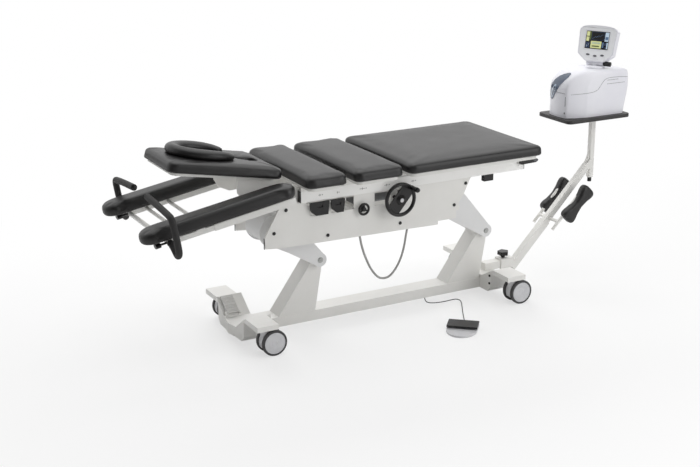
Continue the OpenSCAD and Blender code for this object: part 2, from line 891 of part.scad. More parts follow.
// Lift actuator: a tube with its motor, held between the platform's cross tubes
module lift_actuator() {
  x0 = cross_x[0] + tube_side;
  x1 = cross_x[1] + tube_side + motor_l / 2;
  color("dimgray")
    placed()
      difference() {
        union() {
          shaft_x(0, rod_z, actuator_r, x0, x1);
          shaft_x(0, rod_z - motor_r - actuator_r / 2, motor_r, x0 + motor_r,
            x0 + motor_r + motor_l);
          block([x0 + motor_r, -motor_r / 2, rod_z - motor_r],
            [x0 + motor_r + motor_l / 2, motor_r / 2, rod_z]);
        }
        shaft_x(0, rod_z, rod_r + running, x0 + motor_l, x1 + over);
      }
}

// Actuator rod: it ends in a fork that is open downwards and takes the horn's pin
module actuator_rod() {
  fork_top = upper_z + horn_l + drive_pin_r + drive_slack;
  fork_low = upper_z + boss_r + free_gap;
  half = drive_pin_r + drive_slack;
  color("silver")
    placed() {
      shaft_x(0, rod_z, rod_r, cross_x[1] - 2 * tube_side, yoke_x - half - yoke_leg);
      both_sides()
        difference() {
          block([yoke_x - half - yoke_leg, yoke_gap, fork_low],
            [yoke_x + half + yoke_leg, yoke_gap + yoke_t, fork_top + yoke_leg]);
          block([yoke_x - half, 0, fork_low - over], [yoke_x + half, panel_out, fork_top]);
        }
      block([yoke_x - half - yoke_leg - yoke_t, -yoke_gap - yoke_t, rod_z - yoke_leg],
        [yoke_x - half - yoke_leg, yoke_gap + yoke_t, rod_z + yoke_leg]);
    }
}

// Side rails: two box tubes under the cushions
module side_rails() {
  color("whitesmoke")
    placed()
      both_sides()
        tube_between([rail_x0, rail_in, rail_z], [rail_x1, rail_out, rail_top], rail_wall);
}

// Platform frame: cross tubes, pivot shafts, cushion boards and the brackets at the head
module cushion_board(x0, x1) {
  translate([(x0 + x1) / 2, 0, board_z])
    rounded_plate(x1 - x0 - 2 * board_inset, cushion_w - 2 * board_inset, board_t - seat, board_inset);
}

module rail_spacer(x0, x1) {
  both_sides()
    tube_between([x0, rail_in + seat, rail_top], [x1, rail_out, board_z], rail_wall);
}

module head_bracket() {
  z0 = rail_z - rail_wall;
  difference() {
    plate_xz([[bracket_x0, z0], [lumbar_x0, z0], [lumbar_x0, rail_top], [rail_x0, bracket_top],
      [bracket_x0, bracket_top]], bracket_in, rail_in);
    shaft_y(arm_shaft_x, arm_shaft_z, arm_shaft_r + running, 0, panel_out);
    shaft_y(hinge_x, hinge_z, hinge_r + running, 0, panel_out);
  }
}

module platform_frame() {
  color("whitesmoke")
    placed() {
      cushion_board(-thoracic_l, 0);
      cushion_board(lumbar_x0, lumbar_x1);
      rail_spacer(rail_x0, -board_inset);
      rail_spacer(lumbar_x0 + board_inset, lumbar_x1 - board_inset);
      difference() {
        for (x = cross_x) {
          block([x, -panel_in, cross_z], [x + tube_side, panel_in, cross_z + tube_side]);
          shaft_x(0, rod_z, collar_r, x, x + tube_side);
        }
        shaft_x(0, rod_z, actuator_r + running, cross_x[1] - over, cross_x[1] + tube_side + over);
        for (x = cross_x)
          both_sides()
            block([x + rail_wall, collar_r + rail_wall, cross_z + rail_wall],
              [x + tube_side - rail_wall, panel_out, cross_z + tube_side - rail_wall]);
      }
      for (x = [upper_x, upper_x + leg_pitch])
        shaft_y(x, upper_z, shaft_r, -panel_in, panel_in);
      both_sides()
        head_bracket();
      difference() {
        block([handwheel_x - bearing_l / 2, -panel_in, handwheel_z - bearing_l],
          [handwheel_x + bearing_l / 2, -panel_in + bearing_l, rail_z]);
        shaft_y(handwheel_x, handwheel_z, hub_shaft_r + running, -panel_out, 0);
      }
      block([rail_x1 - tube_side, -rail_in, rail_z], [rail_x1, rail_in, rail_z + tube_side]);
    }
}

// Side panels, with windows for the levers, and on the near side also for the handwheel
module side_panel(windows) {
  difference() {
    plate_xz([[panel_x0, panel_strip_z], [panel_low_x[0], panel_low_z[0]],
      [panel_low_x[1], panel_low_z[1]], [panel_low_x[2], panel_low_z[2]], [panel_low_x[3], panel_low_z[3]],
      [panel_low_x[3], panel_low_z[4]], [panel_foot.x, panel_low_z[4]], panel_foot, panel_waist,
      [panel_x1, rail_z], [rail_x0, rail_z], panel_peak], -panel_out, -panel_in);
    for (k = [0:windows - 1])
      block([window_x[k], -panel_out - over, rail_z - window_h],
        [window_x[k] + window_l[k], -panel_in + over, rail_z + over]);
    shaft_y(small_wheel_x, small_wheel_z, small_shaft_r + running, -panel_out - over, -panel_in + over);
  }
}

module side_panel_near() {
  color("white")
    placed() {
      side_panel(3);
      paddle_lugs();
    }
}

module side_panel_far() {
  color("white")
    placed()
      mirror([0, 1, 0])
        side_panel(2);
}

// Plastic trim: rail end caps, panel edge strips, screw caps and the stops under the rails
cap_t_small = 3;
cap_places = [[-246, 650], [-309, 547], [-29, 496], [368, 496], [745, 646], [679, 543]];
module plastic_trim() {
  color("black")
    placed()
      both_sides() {
        block([rail_x0 - cap_t_small, rail_in, rail_z], [rail_x0, rail_out, rail_top]);
        block([rail_x1, rail_in, rail_z], [rail_x1 + cap_t_small, rail_out, rail_top]);
        block([panel_x0 - cap_t_small, panel_in, panel_low_z[0]],
          [panel_x0, panel_out, panel_strip_z]);
        for (c = cap_places)
          shaft_y(c.x, c.y, cap_d / 2, panel_out, panel_out + cap_t_small);
        block([stop_block_x, rail_out - stop_block.y, rail_z - stop_block.z],
          [stop_block_x + stop_block.x, rail_out, rail_z]);
      }
}

// Cushions with round corners, a crown and sides that pull in
module cushion(x0, x1) {
  translate([(x0 + x1) / 2, 0, cushion_bottom])
    loft(cushion_rings(x1 - x0, cushion_w, cushion_t, cushion_corner_r, cushion_edge, cushion_crown,
      cushion_draw));
}

module cushion_thoracic() {
  color("dimgray")
    placed()
      cushion(-thoracic_l, 0);
}

module cushion_lumbar() {
  color("dimgray")
    placed()
      cushion(lumbar_x0, lumbar_x1);
}

module cushion_long() {
  color("dimgray")
    placed()
      cushion(long_x0, long_x1);
}

// Large handwheel: rim, web with two openings beside a broad bar, hub and the pin of its spinner handle
bar_half_share = 0.46;
opening_at = -40;
module handwheel() {
  rim = handwheel_d / 2 - rim_r;
  color("black")
    placed()
      translate([handwheel_x, -handwheel_y, handwheel_z])
        rotate([90, 0, 0]) {
          rotate_extrude($fn = fine)
            translate([rim, 0])
              circle(rim_r, $fn = 24);
          translate([0, 0, -web_t / 2])
            linear_extrude(web_t)
              difference() {
                circle(rim, $fn = fine);
                for (turn = [opening_at, opening_at + 180])
                  rotate(turn)
                    intersection() {
                      circle(rim - rim_r, $fn = fine);
                      translate([rim * bar_half_share, -rim])
                        square([rim, 2 * rim]);
                    }
              }
          translate([0, 0, -web_t])
            cylinder(h = 3 * web_t, r = hub_r);
          translate([0, 0, panel_in - handwheel_y - bearing_l])
            cylinder(h = handwheel_y - panel_in + bearing_l, r = hub_shaft_r);
          rotate([0, 0, spinner_at])
            translate([rim, 0, rim_r / 2])
              cylinder(h = spinner_gap + spinner_l, r = spinner_pin_r);
        }
}

module spinner_handle() {
  rim = handwheel_d / 2 - rim_r;
  place = at_angle(rim, spinner_at);
  r = spinner_d / 2;
  color("black")
    placed()
      translate([handwheel_x + place.x, -handwheel_y - rim_r - spinner_gap, handwheel_z + place.y])
        rotate([90, 0, 0])
          rotate_extrude()
            polygon([[spinner_pin_r + running, 0], [r * 0.8, 0], [r * 0.95, spinner_l * 0.12],
              [r * 0.8, spinner_l * 0.4], [r, spinner_l * 0.75], [r * 0.9, spinner_l * 0.93],
              [r * 0.6, spinner_l], [spinner_pin_r + running, spinner_l]]);
}

// Small handwheel: a ring of three lobes on a short shaft through the panel
module small_handwheel() {
  r = small_wheel_d / 2;
  color("black")
    placed()
      translate([small_wheel_x, -panel_out - small_standoff, small_wheel_z])
        rotate([90, 0, 0]) {
          linear_extrude(small_wheel_t)
            difference() {
              for (k = [0:2])
                rotate(120 * k + 30)
                  translate([r * 0.45, 0])
                    circle(r * 0.55);
              for (k = [0:2])
                rotate(120 * k + 30)
                  translate([r * 0.58, 0])
                    circle(r * 0.2);
            }
          translate([0, 0, -small_standoff - panel_t - small_standoff])
            cylinder(h = 2 * small_standoff + panel_t + small_wheel_t / 2, r = small_shaft_r);
          translate([0, 0, free_gap - small_standoff])
            cylinder(h = small_standoff, r = 2 * small_shaft_r);
          translate([0, 0, -small_standoff - panel_t - small_standoff])
            cylinder(h = small_standoff - free_gap, r = 2 * small_shaft_r);
        }
}

// Paddle levers hang on pins between lugs of the panel, and their tongues reach in through the windows
module paddle_lever(k) {
  y = panel_out + paddle_gap;
  z1 = rail_z - paddle_drop;
  x = paddle_x[k];
  mid = x + paddle_l[k] / 2;
  color("black")
    placed() {
      difference() {
        plate_xz([[x, z1], [x + paddle_h / 8, z1 - paddle_h * 0.7], [x + paddle_h / 2, z1 - paddle_h],
          [x + paddle_l[k] - paddle_h / 8, z1 - paddle_h], [x + paddle_l[k], z1]], -y - paddle_t, -y);
        block([mid - tongue_t, -y - paddle_t - over, z1 - paddle_h * 0.42],
          [mid + tongue_t, -y - paddle_t * 0.6, z1 - paddle_h * 0.22]);
      }
      block([mid - tongue_t, -y, z1 - paddle_h / 2],
        [mid + tongue_t, -panel_in + tongue_t, z1 - paddle_h / 4]);
      shaft_x(-paddle_pin_y, paddle_pin_z, paddle_pin_r, x - paddle_lug_t / 2 + seat,
        x + paddle_l[k] + paddle_lug_t / 2 - seat);
    }
}

module paddle_lugs() {
  for (k = [0:1])
    for (x = [paddle_x[k] - paddle_lug_t, paddle_x[k] + paddle_l[k] + seat])
      difference() {
        block([x, -paddle_pin_y - 2 * paddle_pin_r, paddle_pin_z - 2 * paddle_pin_r],
          [x + paddle_lug_t - seat, -panel_out, paddle_pin_z + 2 * paddle_pin_r]);
        shaft_x(-paddle_pin_y, paddle_pin_z, paddle_pin_r + running, x - over, x + paddle_lug_t);
      }
}

module paddle_lever_head() { paddle_lever(0); }
module paddle_lever_foot() { paddle_lever(1); }

module cable_loop() {
  color("lightgray")
    placed()
      loft(tube_rings(smooth_route(CABLE, 2), cable_d / 2, 10, [0, 1, 0]));
}

// Sliding section: the board and its two side channels with rollers on the rails
roller_r = 11;
plate_t = 5;
roller_places = [60, 620];
slide_l = 90;
module long_carriage() {
  x0 = long_x0 + board_inset;
  x1 = long_x1 - board_inset;
  low = rail_top + seat + roller_r / 4;
  lever_y = rail_out + free_gap;
  color("whitesmoke")
    placed() {
      cushion_board(long_x0, long_x1);
      both_sides() {
        block([x0, rail_in + seat, low], [x1, rail_in + plate_t, board_z]);
        block([x0, rail_out - plate_t, low], [x1, rail_out - seat, board_z]);
        for (x = roller_places)
          shaft_y(x0 + x, rail_top + seat + roller_r, roller_r, rail_in + plate_t + seat,
            rail_out - plate_t - seat);
        for (x = roller_places)
          shaft_y(x0 + x, rail_top + seat + roller_r, roller_r / 3, rail_in + plate_t,
            rail_out - plate_t);
      }
      difference() {
        union() {
          block([x1 - lever_h, -lever_y - plate_t, rail_top - lever_h], [x1, -lever_y, board_z]);
          block([x1 - lever_h, -lever_y, board_z - plate_t], [x1, -rail_out + plate_t, board_z]);
        }
        shaft_y(x1 - lever_h / 2, rail_top - lever_h / 2, lever_pin_r + running, -panel_out - lever_h, 0);
      }
    }
}

// Release lever under the foot end of the sliding section
module release_lever() {
  x = long_x1 - board_inset - lever_h / 2;
  y = rail_out + free_gap + plate_t + seat;
  z = rail_top - lever_h / 2;
  r = lever_h / 2;
  color("black")
    placed() {
      shaft_y(x, z, lever_pin_r, -y, -y + plate_t + seat);
      plate_xz([[x - r * 0.7, z - r * 0.7], [x, z - r], [x + lever_l - r, z - r * 0.8],
        [x + lever_l, z - r * 0.2], [x + lever_l, z + r * 0.4], [x + lever_l - r, z + r * 0.9],
        [x, z + r], [x - r * 0.7, z + r * 0.7], [x - r, z]], -y - lever_t, -y);
    }
}

// Head section: board and gussets on hinge pins, the cushion with its slot, and the face pillow
module head_place() {
  placed()
    translate([head_end_x, 0, head_end_z])
      rotate([0, head_tilt, 0])
        children();
}

function head_at(u, v) = [head_end_x + u * cos(head_tilt) + v * sin(head_tilt),
  head_end_z - u * sin(head_tilt) + v * cos(head_tilt)];

// The gussets' lower outline in shares of their length; their upper edge lies against the board
gusset_shares = [[0.035, -0.03], [-0.05, -0.05], [-0.22, -0.055], [-0.34, 0], [-0.395, 0.09], [-0.4, 0.182]];
gusset_top_share = 0.484;
module head_frame() {
  under = -head_t - head_board_t;
  color("whitesmoke") {
    head_place()
      difference() {
        translate([-head_l / 2, 0, -head_t - head_board_t])
          rounded_plate(head_l - 2 * board_inset, head_w * (1 - head_taper_share) - board_inset,
            head_board_t - seat, board_inset);
        breathing_slot();
      }
    placed()
      both_sides() {
        plate_xz([for (g = gusset_shares) [hinge_x + g.x * gusset_l, hinge_z + g.y * gusset_l],
          head_at(-gusset_top_share * gusset_l, under), head_at(-board_inset, under)],
          gusset_in, gusset_in + gusset_t);
        shaft_y(hinge_x, hinge_z, 2.4 * hinge_r, gusset_in, gusset_in + gusset_t);
        shaft_y(hinge_x, hinge_z, hinge_r, gusset_in, rail_in);
      }
  }
}

module breathing_slot() {
  translate([-slot_in - slot_l / 2, 0, -head_t - head_board_t - over])
    rounded_plate(slot_l, slot_w, head_t + head_board_t + 2 * over, slot_w / 2 - over);
}

module head_cushion() {
  color("dimgray")
    head_place()
      difference() {
        translate([-head_l / 2, 0, -head_t])
          loft(tapered(cushion_rings(head_l, head_w, head_t, cushion_corner_r, cushion_edge,
            cushion_crown, cushion_draw), head_l, head_taper_share));
        breathing_slot();
      }
}

function pillow_ring(a) =
  let (s = 1 - 0.4 * pow(abs(a - 180) / 145, 6), t = unit([-pillow_l * sin(a), pillow_w * cos(a)]),
    c = [(pillow_l - roll_w) / 2 * cos(a), (pillow_w - roll_w) / 2 * sin(a)])
  [for (k = [0:11]) let (p = c + [t.y, -t.x] * roll_w / 2 * s * cos(30 * k))
    [p.x, p.y, max(roll_h * s * (0.42 - 0.58 * sin(30 * k)), 0)]];

module face_pillow() {
  color("dimgray")
    head_place()
      translate([-slot_in * 3 - pillow_l / 2, 0, seat])
        loft([for (a = [35:12.5:325]) pillow_ring(a)]);
}

// Arm rests, drawn level and then sloped about their cross shaft
module arm_place() {
  placed()
    translate([arm_shaft_x, 0, arm_shaft_z])
      rotate([0, -arm_slope, 0])
        children();
}

module arm_frame() {
  color("whitesmoke")
    arm_place() {
      difference() {
        shaft_y(0, 0, arm_shaft_r, -arm_tube_out + arm_tube_wall, arm_tube_out - arm_tube_wall);
        shaft_y(0, 0, arm_shaft_r - arm_tube_wall, -arm_tube_out, arm_tube_out);
      }
      both_sides()
        difference() {
          tube_between([-arm_tube_end, arm_tube_out - arm_tube_w, -arm_tube_h / 2],
            [arm_tube_h / 2, arm_tube_out, arm_tube_h / 2], arm_tube_wall);
          shaft_y(0, 0, arm_shaft_r, 0, arm_tube_out - arm_tube_wall);
        }
    }
}

module arm_slide() {
  y = arm_tube_out - arm_tube_w / 2;
  color("whitesmoke")
    arm_place() {
      for (k = [0:1])
        shaft_y(-bar_places[k], 0, bar_r * 0.8, -y, y);
      difference() {
        union() {
          shaft_y(-bar_places[2], 0, bar_r, -bar_half, bar_half);
          both_sides()
            block([-bar_places[2], y - inner_w / 2, -inner_h / 2], [-inner_in, y + inner_w / 2, inner_h / 2]);
        }
        both_sides() {
          shaft_y(-bar_places[2], 0, stub_r + running, bar_half - stub_l - seat, bar_half + over);
          shaft_x(knob_y, 0, knob_screw_r + running, -bar_places[2] - 2 * bar_r, -bar_places[2]);
        }
      }
      both_sides()
        for (x = post_places)
          block([-x - post_l / 2, arm_y - inner_w / 2, inner_h / 2],
            [-x + post_l / 2, y + inner_w / 2, pad_z - arm_pad_t / 2 - seat]);
    }
}

module arm_pads() {
  color("dimgray")
    arm_place()
      both_sides()
        translate([arm_pad_l / 2 - pad_x0, arm_y, pad_z - arm_pad_t / 2])
          loft(cushion_rings(arm_pad_l, arm_pad_w, arm_pad_t, arm_pad_w / 2, cushion_edge,
            cushion_crown, cushion_draw / 4));
}

// Hand grips: a bent foam tube round each pad's outer side, turning on a stub in the end bar
module grip() {
  x = -bar_places[2];
  route = [for (p = [[bar_half + seat, 0], [bar_half + grip_bend * 0.15, 0],
      [bar_half + grip_bend * 0.35, 0],
      [grip_out - grip_bend * 1.9, grip_low * 0.3], [grip_out - grip_bend, grip_low * 0.92],
      [grip_out - grip_bend * 0.25, grip_low * 0.55], [grip_out, grip_bend * 0.3],
      [grip_out, grip_high_out * 0.4], [grip_out - grip_bend * 0.05, grip_high_out - grip_bend],
      [grip_out - grip_bend * 0.3, grip_high_out - grip_bend * 0.3],
      [grip_out - grip_bend, grip_high_out],
      [(grip_out + grip_top_in) / 2, (grip_high_out + grip_high_in) / 2],
      [grip_top_in, grip_high_in]]) [x, p.x, p.y]];
  color("black")
    arm_place() {
      loft(tube_rings(smooth_route(route, 3), grip_d / 2, 12, [1, 0, 0]));
      shaft_y(x, 0, stub_r, bar_half - stub_l, bar_half + seat);
    }
}

module grip_near() {
  mirror_near()
    grip();
}
module grip_far() { grip(); }

// Pieces of the near side are the far side's, mirrored about the centre line
module mirror_near() {
  translate([0, -2 * mid_y, 0])
    mirror([0, 1, 0])
      children();
}

module grip_knob() {
  x = -bar_places[2] - stub_r - running - seat;
  color("black")
    arm_place() {
      shaft_x(knob_y, 0, knob_screw_r, x - knob_reach + knob_l, x);
      translate([x - knob_reach, knob_y, 0])
        scale([1, 1.6, 1])
          rotate([0, 90, 0])
            cylinder(h = knob_l, r = knob_l * 0.48);
    }
}

module grip_knob_near() { mirror_near() grip_knob(); }
module grip_knob_far() { grip_knob(); }

// Foot switch: a flat base with a rounded front, a rocking tread on a pin, and its cord
module switch_place() {
  placed()
    translate([switch_x, switch_y, 0])
      rotate([0, 0, switch_turn])
        children();
}

module foot_switch_base() {
  pin_z = switch_h + tread_gap / 2;
  color("silver")
    switch_place() {
      difference() {
        union() {
          block([-switch_l / 2, -switch_w / 2, 0], [switch_l / 2, switch_w / 2, switch_h]);
          intersection() {
            translate([0, -switch_w / 2, 0])
              scale([switch_l / 2, switch_front, 1])
                cylinder(h = switch_h, r = 1, $fn = fine);
            block([-switch_l, -2 * switch_l, 0], [switch_l, -switch_w / 2, switch_h]);
          }
        }
        block([-rocker_l, -rocker_r - over, switch_h / 2 - over], [rocker_l, rocker_r + over,
          switch_h + over]);
      }
      block([-relief_w / 2, switch_w / 2, 0], [relief_w / 2, switch_w / 2 + relief_l, switch_h - over]);
      shaft_x(0, pin_z, pin_r, -rocker_l - rocker_end, rocker_l + rocker_end);
      for (side = [-1, 1])
        translate([side * (rocker_l + rocker_end / 2), 0, switch_h + tread_gap / 2 - over])
          cube([rocker_end - over, 2 * rocker_r, tread_gap - over], center = true);
    }
}

module foot_switch_tread() {
  pin_z = switch_h + tread_gap / 2;
  z = switch_h + tread_gap;
  color("dimgray")
    switch_place()
      difference() {
        union() {
          block([-switch_l / 2, -switch_w / 2, z], [switch_l / 2, switch_w / 2, z + tread_t]);
          shaft_x(0, pin_z, rocker_r, over - rocker_l, rocker_l - over);
        }
        shaft_x(0, pin_z, pin_r + running, -switch_l, switch_l);
      }
}

module foot_switch_cord() {
  color("black")
    placed()
      loft(tube_rings(smooth_route(CORD, 3), cord_d / 2, 8, [0, 1, 0]));
}

module cord_gland() {
  color("dimgray")
    placed()
      shaft_z(gland_place.x, gland_place.y, gland_r, beam_z - gland_l, beam_z);
}

// Mast, drawn level from the socket block and then raised
module mast_place() {
  placed()
    translate([mast_x, 0, mast_z])
      rotate([0, -mast_rise, 0])
        children();
}

module star(d) {
  circle(d * 0.42);
  for (k = [0:4])
    rotate(72 * k)
      translate([d * 0.35, 0])
        circle(d * 0.15);
}

module lower_mast_tube() {
  half = tongue_w / 2;
  z1 = tongue_z0 + tongue_h;
  color("whitesmoke") {
    placed()
      difference() {
        block([block_x0, -half - block_wall, tongue_z0 - block_wall],
          [block_x1, half + block_wall, z1 + block_wall + free_gap]);
        block([block_x0 - over, -half - seat, tongue_z0 - seat], [tongue_x1 + seat, half + seat, z1 + seat]);
        shaft_z(t_knob_x, 0, t_screw_r + running, z1, z1 + tongue_h);
      }
    mast_place()
      tube_between([-mast_low, -mast_w / 2, -mast_depth / 2], [mast_l, mast_w / 2, mast_depth / 2],
        mast_wall);
  }
}

module t_knob() {
  z1 = tongue_z0 + tongue_h;
  color("black")
    placed() {
      shaft_z(t_knob_x, 0, t_screw_r, z1 + 2 * seat, z1 + t_knob_h);
      shaft_z(t_knob_x, 0, t_stem_r, z1 + block_wall + free_gap + seat, z1 + t_knob_h - star_t / 2);
      translate([t_knob_x, 0, z1 + t_knob_h - star_t])
        linear_extrude(star_t)
          star(t_knob_d);
    }
}

module upper_mast_tube() {
  top = (post_x - mast_x) / cos(mast_rise);
  corner_z = mast_z + (post_x - post_w / 2 - mast_x) * tan(mast_rise) + upper_depth / 2 / cos(mast_rise);
  color("whitesmoke") {
    mast_place() {
      tube_between([upper_in, -upper_w / 2, -upper_depth / 2], [top, upper_w / 2, upper_depth / 2], wall);
      shaft_y(bar_s, rod_t, bolster_rod_r, -rod_y, rod_y);
      both_sides()
        shaft_x(rod_y, rod_t, bolster_rod_r, rod_s0, bolster_s + bolster_l / 2 - bolster_edge);
    }
    placed() {
      difference() {
        block([post_x - post_w / 2, -post_w / 2, post_z0], [post_x + post_w / 2, post_w / 2, post_top]);
        shaft_z(post_x, 0, shelf_pin_r + running, post_top - shelf_pin_l, post_top + over);
        shaft_z(post_x, 0, mast_screw_r + running, post_z0 - over, post_z0 + mast_screw_l + over);
      }
      plate_xz([[post_x, corner_z - gusset_h], [post_x - post_w / 2, corner_z + gusset_h],
        [post_x - post_w / 2 - gusset_h * cos(mast_rise), corner_z - gusset_h * sin(mast_rise)]],
        -upper_w / 4, upper_w / 4);
    }
  }
}

module mast_knob() {
  color("black")
    placed() {
      shaft_z(post_x, 0, mast_screw_r, post_z0 - mast_knob_h, post_z0 + mast_screw_l);
      shaft_z(post_x, 0, mast_knob_r, post_z0 - mast_knob_h, post_z0 - seat);
    }
}

module shelf() {
  color("black")
    placed() {
      translate([shelf_x0 + shelf_l / 2, 0, shelf_top - shelf_t])
        rounded_plate(shelf_l, shelf_w, shelf_t, shelf_corner_r);
      shaft_z(post_x, 0, flange_r, shelf_top - shelf_t - flange_t, shelf_top - shelf_t);
      shaft_z(post_x, 0, shelf_pin_r, post_top - shelf_pin_l + seat, shelf_top - shelf_t);
    }
}

// Bolsters: narrow in the middle, each pushed on a rod beside the mast
function squared(v) = (v < 0 ? -1 : 1) * pow(abs(v), 0.5);
function bolster_ring(inset, z) =
  [for (k = [0:31]) let (c = squared(cos(11.25 * k)), d = squared(sin(11.25 * k)))
    [c * (bolster_l / 2 - inset), d * (bolster_w / 2 - inset) * (1 - 0.43 * pow(1 - c * c, 2)), z]];

module bolsters() {
  e = bolster_edge;
  color("dimgray")
    mast_place()
      both_sides()
        difference() {
          translate([bolster_s, bolster_y + bolster_t / 2, bolster_mid])
            rotate([90, 0, 0])
              loft([bolster_ring(bolster_w * 0.48, 0), bolster_ring(e, 0),
                bolster_ring(e * 0.3, e * 0.3),
                bolster_ring(0, e), bolster_ring(0, bolster_t - e),
                bolster_ring(e * 0.3, bolster_t - e * 0.3), bolster_ring(e, bolster_t),
                bolster_ring(bolster_w * 0.48, bolster_t)]);
          shaft_x(rod_y, rod_t, bolster_rod_r + seat, rod_s0, bolster_s + bolster_l / 2);
        }
}

// Traction unit: rounded nose towards the table, and a bulge at the far end
module unit_housing() {
  top = unit_z0 + unit_h;
  color("whitesmoke")
    placed()
      difference() {
        intersection() {
          translate([unit_x0, 0, unit_z0 + seat])
            plate_xz(concat([[0, 0]], [for (a = [180:-10:90]) [unit_l * (0.3 + 0.3 * cos(a)),
              (unit_h - seat) * (0.62 + 0.38 * sin(a))]], [[unit_l * 0.93, unit_h - seat],
              [unit_l * 0.975, unit_h * 0.95], [unit_l, unit_h * 0.6], [unit_l * 0.91, 0]]),
              -unit_w / 2, unit_w / 2);
          translate([unit_x0, 0, unit_z0])
            linear_extrude(unit_h)
              polygon(concat([for (a = [-90:10:90]) [unit_nose * (1 - pow(abs(cos(a)), 0.7)),
                unit_w / 2 * (a < 0 ? -1 : 1) * pow(abs(sin(a)), 0.7)]],
                [[unit_l, unit_w / 2], [unit_l, -unit_w / 2]]));
        }
        shaft_z(neck_x, 0, neck_pin_r + running, top - neck_pin_l - seat, top + over);
      }
}

// Display, drawn facing -X on its tilt axis, then tilted and turned
module display_place(tilt) {
  placed()
    translate([neck_x, 0, tilt_z])
      rotate([0, 0, display_turn])
        rotate([0, tilt, 0])
          children();
}

module display_neck() {
  low = unit_z0 + unit_h - tilt_z;
  color("whitesmoke")
    display_place(0)
      difference() {
        union() {
          shaft_z(0, 0, neck_r, low + seat, low + neck_t);
          shaft_z(0, 0, neck_pin_r, low - neck_pin_l, low + neck_t);
          block([-lug_x, -lug_y, low + seat], [lug_x, lug_y, 0]);
          shaft_y(0, 0, lug_x, -lug_y, lug_y);
        }
        shaft_y(0, 0, tilt_r + running, -neck_r, neck_r);
      }
}

module display_housing() {
  w = display_w / 2;
  h = display_h;
  y1 = lug_y + seat + cheek_t;
  color("whitesmoke")
    display_place(display_tilt)
      difference() {
        union() {
          translate([-display_t / 2, 0, 0])
            rotate([90, 0, 90])
              linear_extrude(display_t)
                polygon([[-w * 0.48, display_low], [w * 0.48, display_low],
                  [w * 0.93, h * 0.26], [w, h * 0.9], [w * 0.93, h], [-w * 0.93, h],
                  [-w, h * 0.9], [-w * 0.93, h * 0.26]]);
          both_sides() {
            shaft_y(0, 0, lug_x, lug_y + seat, y1);
            block([-lug_x, lug_y + seat, 0], [lug_x, y1, display_low + over]);
          }
          shaft_y(0, 0, tilt_r, -lug_y - over, y1);
        }
        shaft_y(0, 0, tilt_r + running, -display_w, -lug_y - over);
        block([-display_t / 2 - over, -screen_w / 2 - seat, h / 2 + screen_up - screen_h / 2 - seat],
          [screen_t - display_t / 2, screen_w / 2 + seat, h / 2 + screen_up + screen_h / 2 + seat]);
        for (k = [-1:1])
          shaft_x(button_pitch * k, h / 2 + button_up, button_d / 2 + seat, -display_t,
            button_in + button_out + seat - display_t / 2);
      }
}

module display_screen() {
  z = display_h / 2 + screen_up;
  color("black")
    display_place(display_tilt)
      block([-display_t / 2, -screen_w / 2, z - screen_h / 2],
        [screen_t - seat - display_t / 2, screen_w / 2, z + screen_h / 2]);
}

module display_knob() {
  y = lug_y + cheek_t + seat;
  color("black")
    display_place(display_tilt) {
      shaft_y(0, 0, tilt_r, -knob_in, -lug_y - over - seat);
      shaft_y(0, 0, knob_d / 2, -knob_in - knob_len, -knob_in);
    }
}

module display_button(k) {
  color("dimgray")
    display_place(display_tilt)
      shaft_x(button_pitch * k, display_h / 2 + button_up, button_d / 2, -display_t / 2 - button_out,
        button_in - display_t / 2);
}

module display_button_left() { display_button(1); }
module display_button_middle() { display_button(0); }
module display_button_right() { display_button(-1); }

base_frame();
cross_members();
lower_pins();
cord_gland();
foot_switch_cord();
foot_switch_base();
foot_switch_tread();
brake_pedal();
caster_fork_head_near();
caster_fork_head_far();
caster_fork_foot_near();
caster_fork_foot_far();
caster_wheels_head_near();
caster_wheels_head_far();
caster_wheels_foot_near();
caster_wheels_foot_far();
lift_arm_head();
lift_arm_foot();
lift_actuator();
actuator_rod();
side_rails();
platform_frame();
side_panel_near();
side_panel_far();
plastic_trim();
cushion_thoracic();
cushion_lumbar();
handwheel();
spinner_handle();
small_handwheel();
paddle_lever_head();
paddle_lever_foot();
cable_loop();
long_carriage();
cushion_long();
release_lever();
head_frame();
head_cushion();
face_pillow();
arm_frame();
arm_slide();
arm_pads();
grip_near();
grip_far();
grip_knob_near();
grip_knob_far();
lower_mast_tube();
t_knob();
upper_mast_tube();
mast_knob();
shelf();
bolsters();
unit_housing();
display_neck();
display_housing();
display_screen();
display_knob();
display_button_left();
display_button_middle();
display_button_right();
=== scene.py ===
import math

import bmesh
import bpy
from mathutils import Matrix, Vector
from mathutils.bvhtree import BVHTree


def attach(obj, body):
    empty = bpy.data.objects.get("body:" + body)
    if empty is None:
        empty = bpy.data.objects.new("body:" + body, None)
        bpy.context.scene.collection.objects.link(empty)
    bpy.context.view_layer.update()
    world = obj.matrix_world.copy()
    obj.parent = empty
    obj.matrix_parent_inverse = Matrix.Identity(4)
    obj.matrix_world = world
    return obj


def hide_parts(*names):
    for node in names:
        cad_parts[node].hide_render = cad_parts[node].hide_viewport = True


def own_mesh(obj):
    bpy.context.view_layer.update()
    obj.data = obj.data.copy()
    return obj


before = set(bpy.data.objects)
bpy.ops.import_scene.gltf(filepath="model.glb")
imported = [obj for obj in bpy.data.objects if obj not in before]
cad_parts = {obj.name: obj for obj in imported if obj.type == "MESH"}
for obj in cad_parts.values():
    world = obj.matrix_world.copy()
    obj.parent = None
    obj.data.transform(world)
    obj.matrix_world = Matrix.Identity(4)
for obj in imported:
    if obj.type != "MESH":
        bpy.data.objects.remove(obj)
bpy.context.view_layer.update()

scene = bpy.context.scene
scene.view_settings.view_transform = "Standard"
print("frame loaded:", len(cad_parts), "CAD nodes")

# The source measures in mm from the gap between the first two cushions; this is that point in the frame
origin = {"x": 411.77, "y": -82.4738}


def at(x, y, z):
    return Vector(((x - origin["x"]) / 1000, (y - origin["y"]) / 1000, z / 1000))


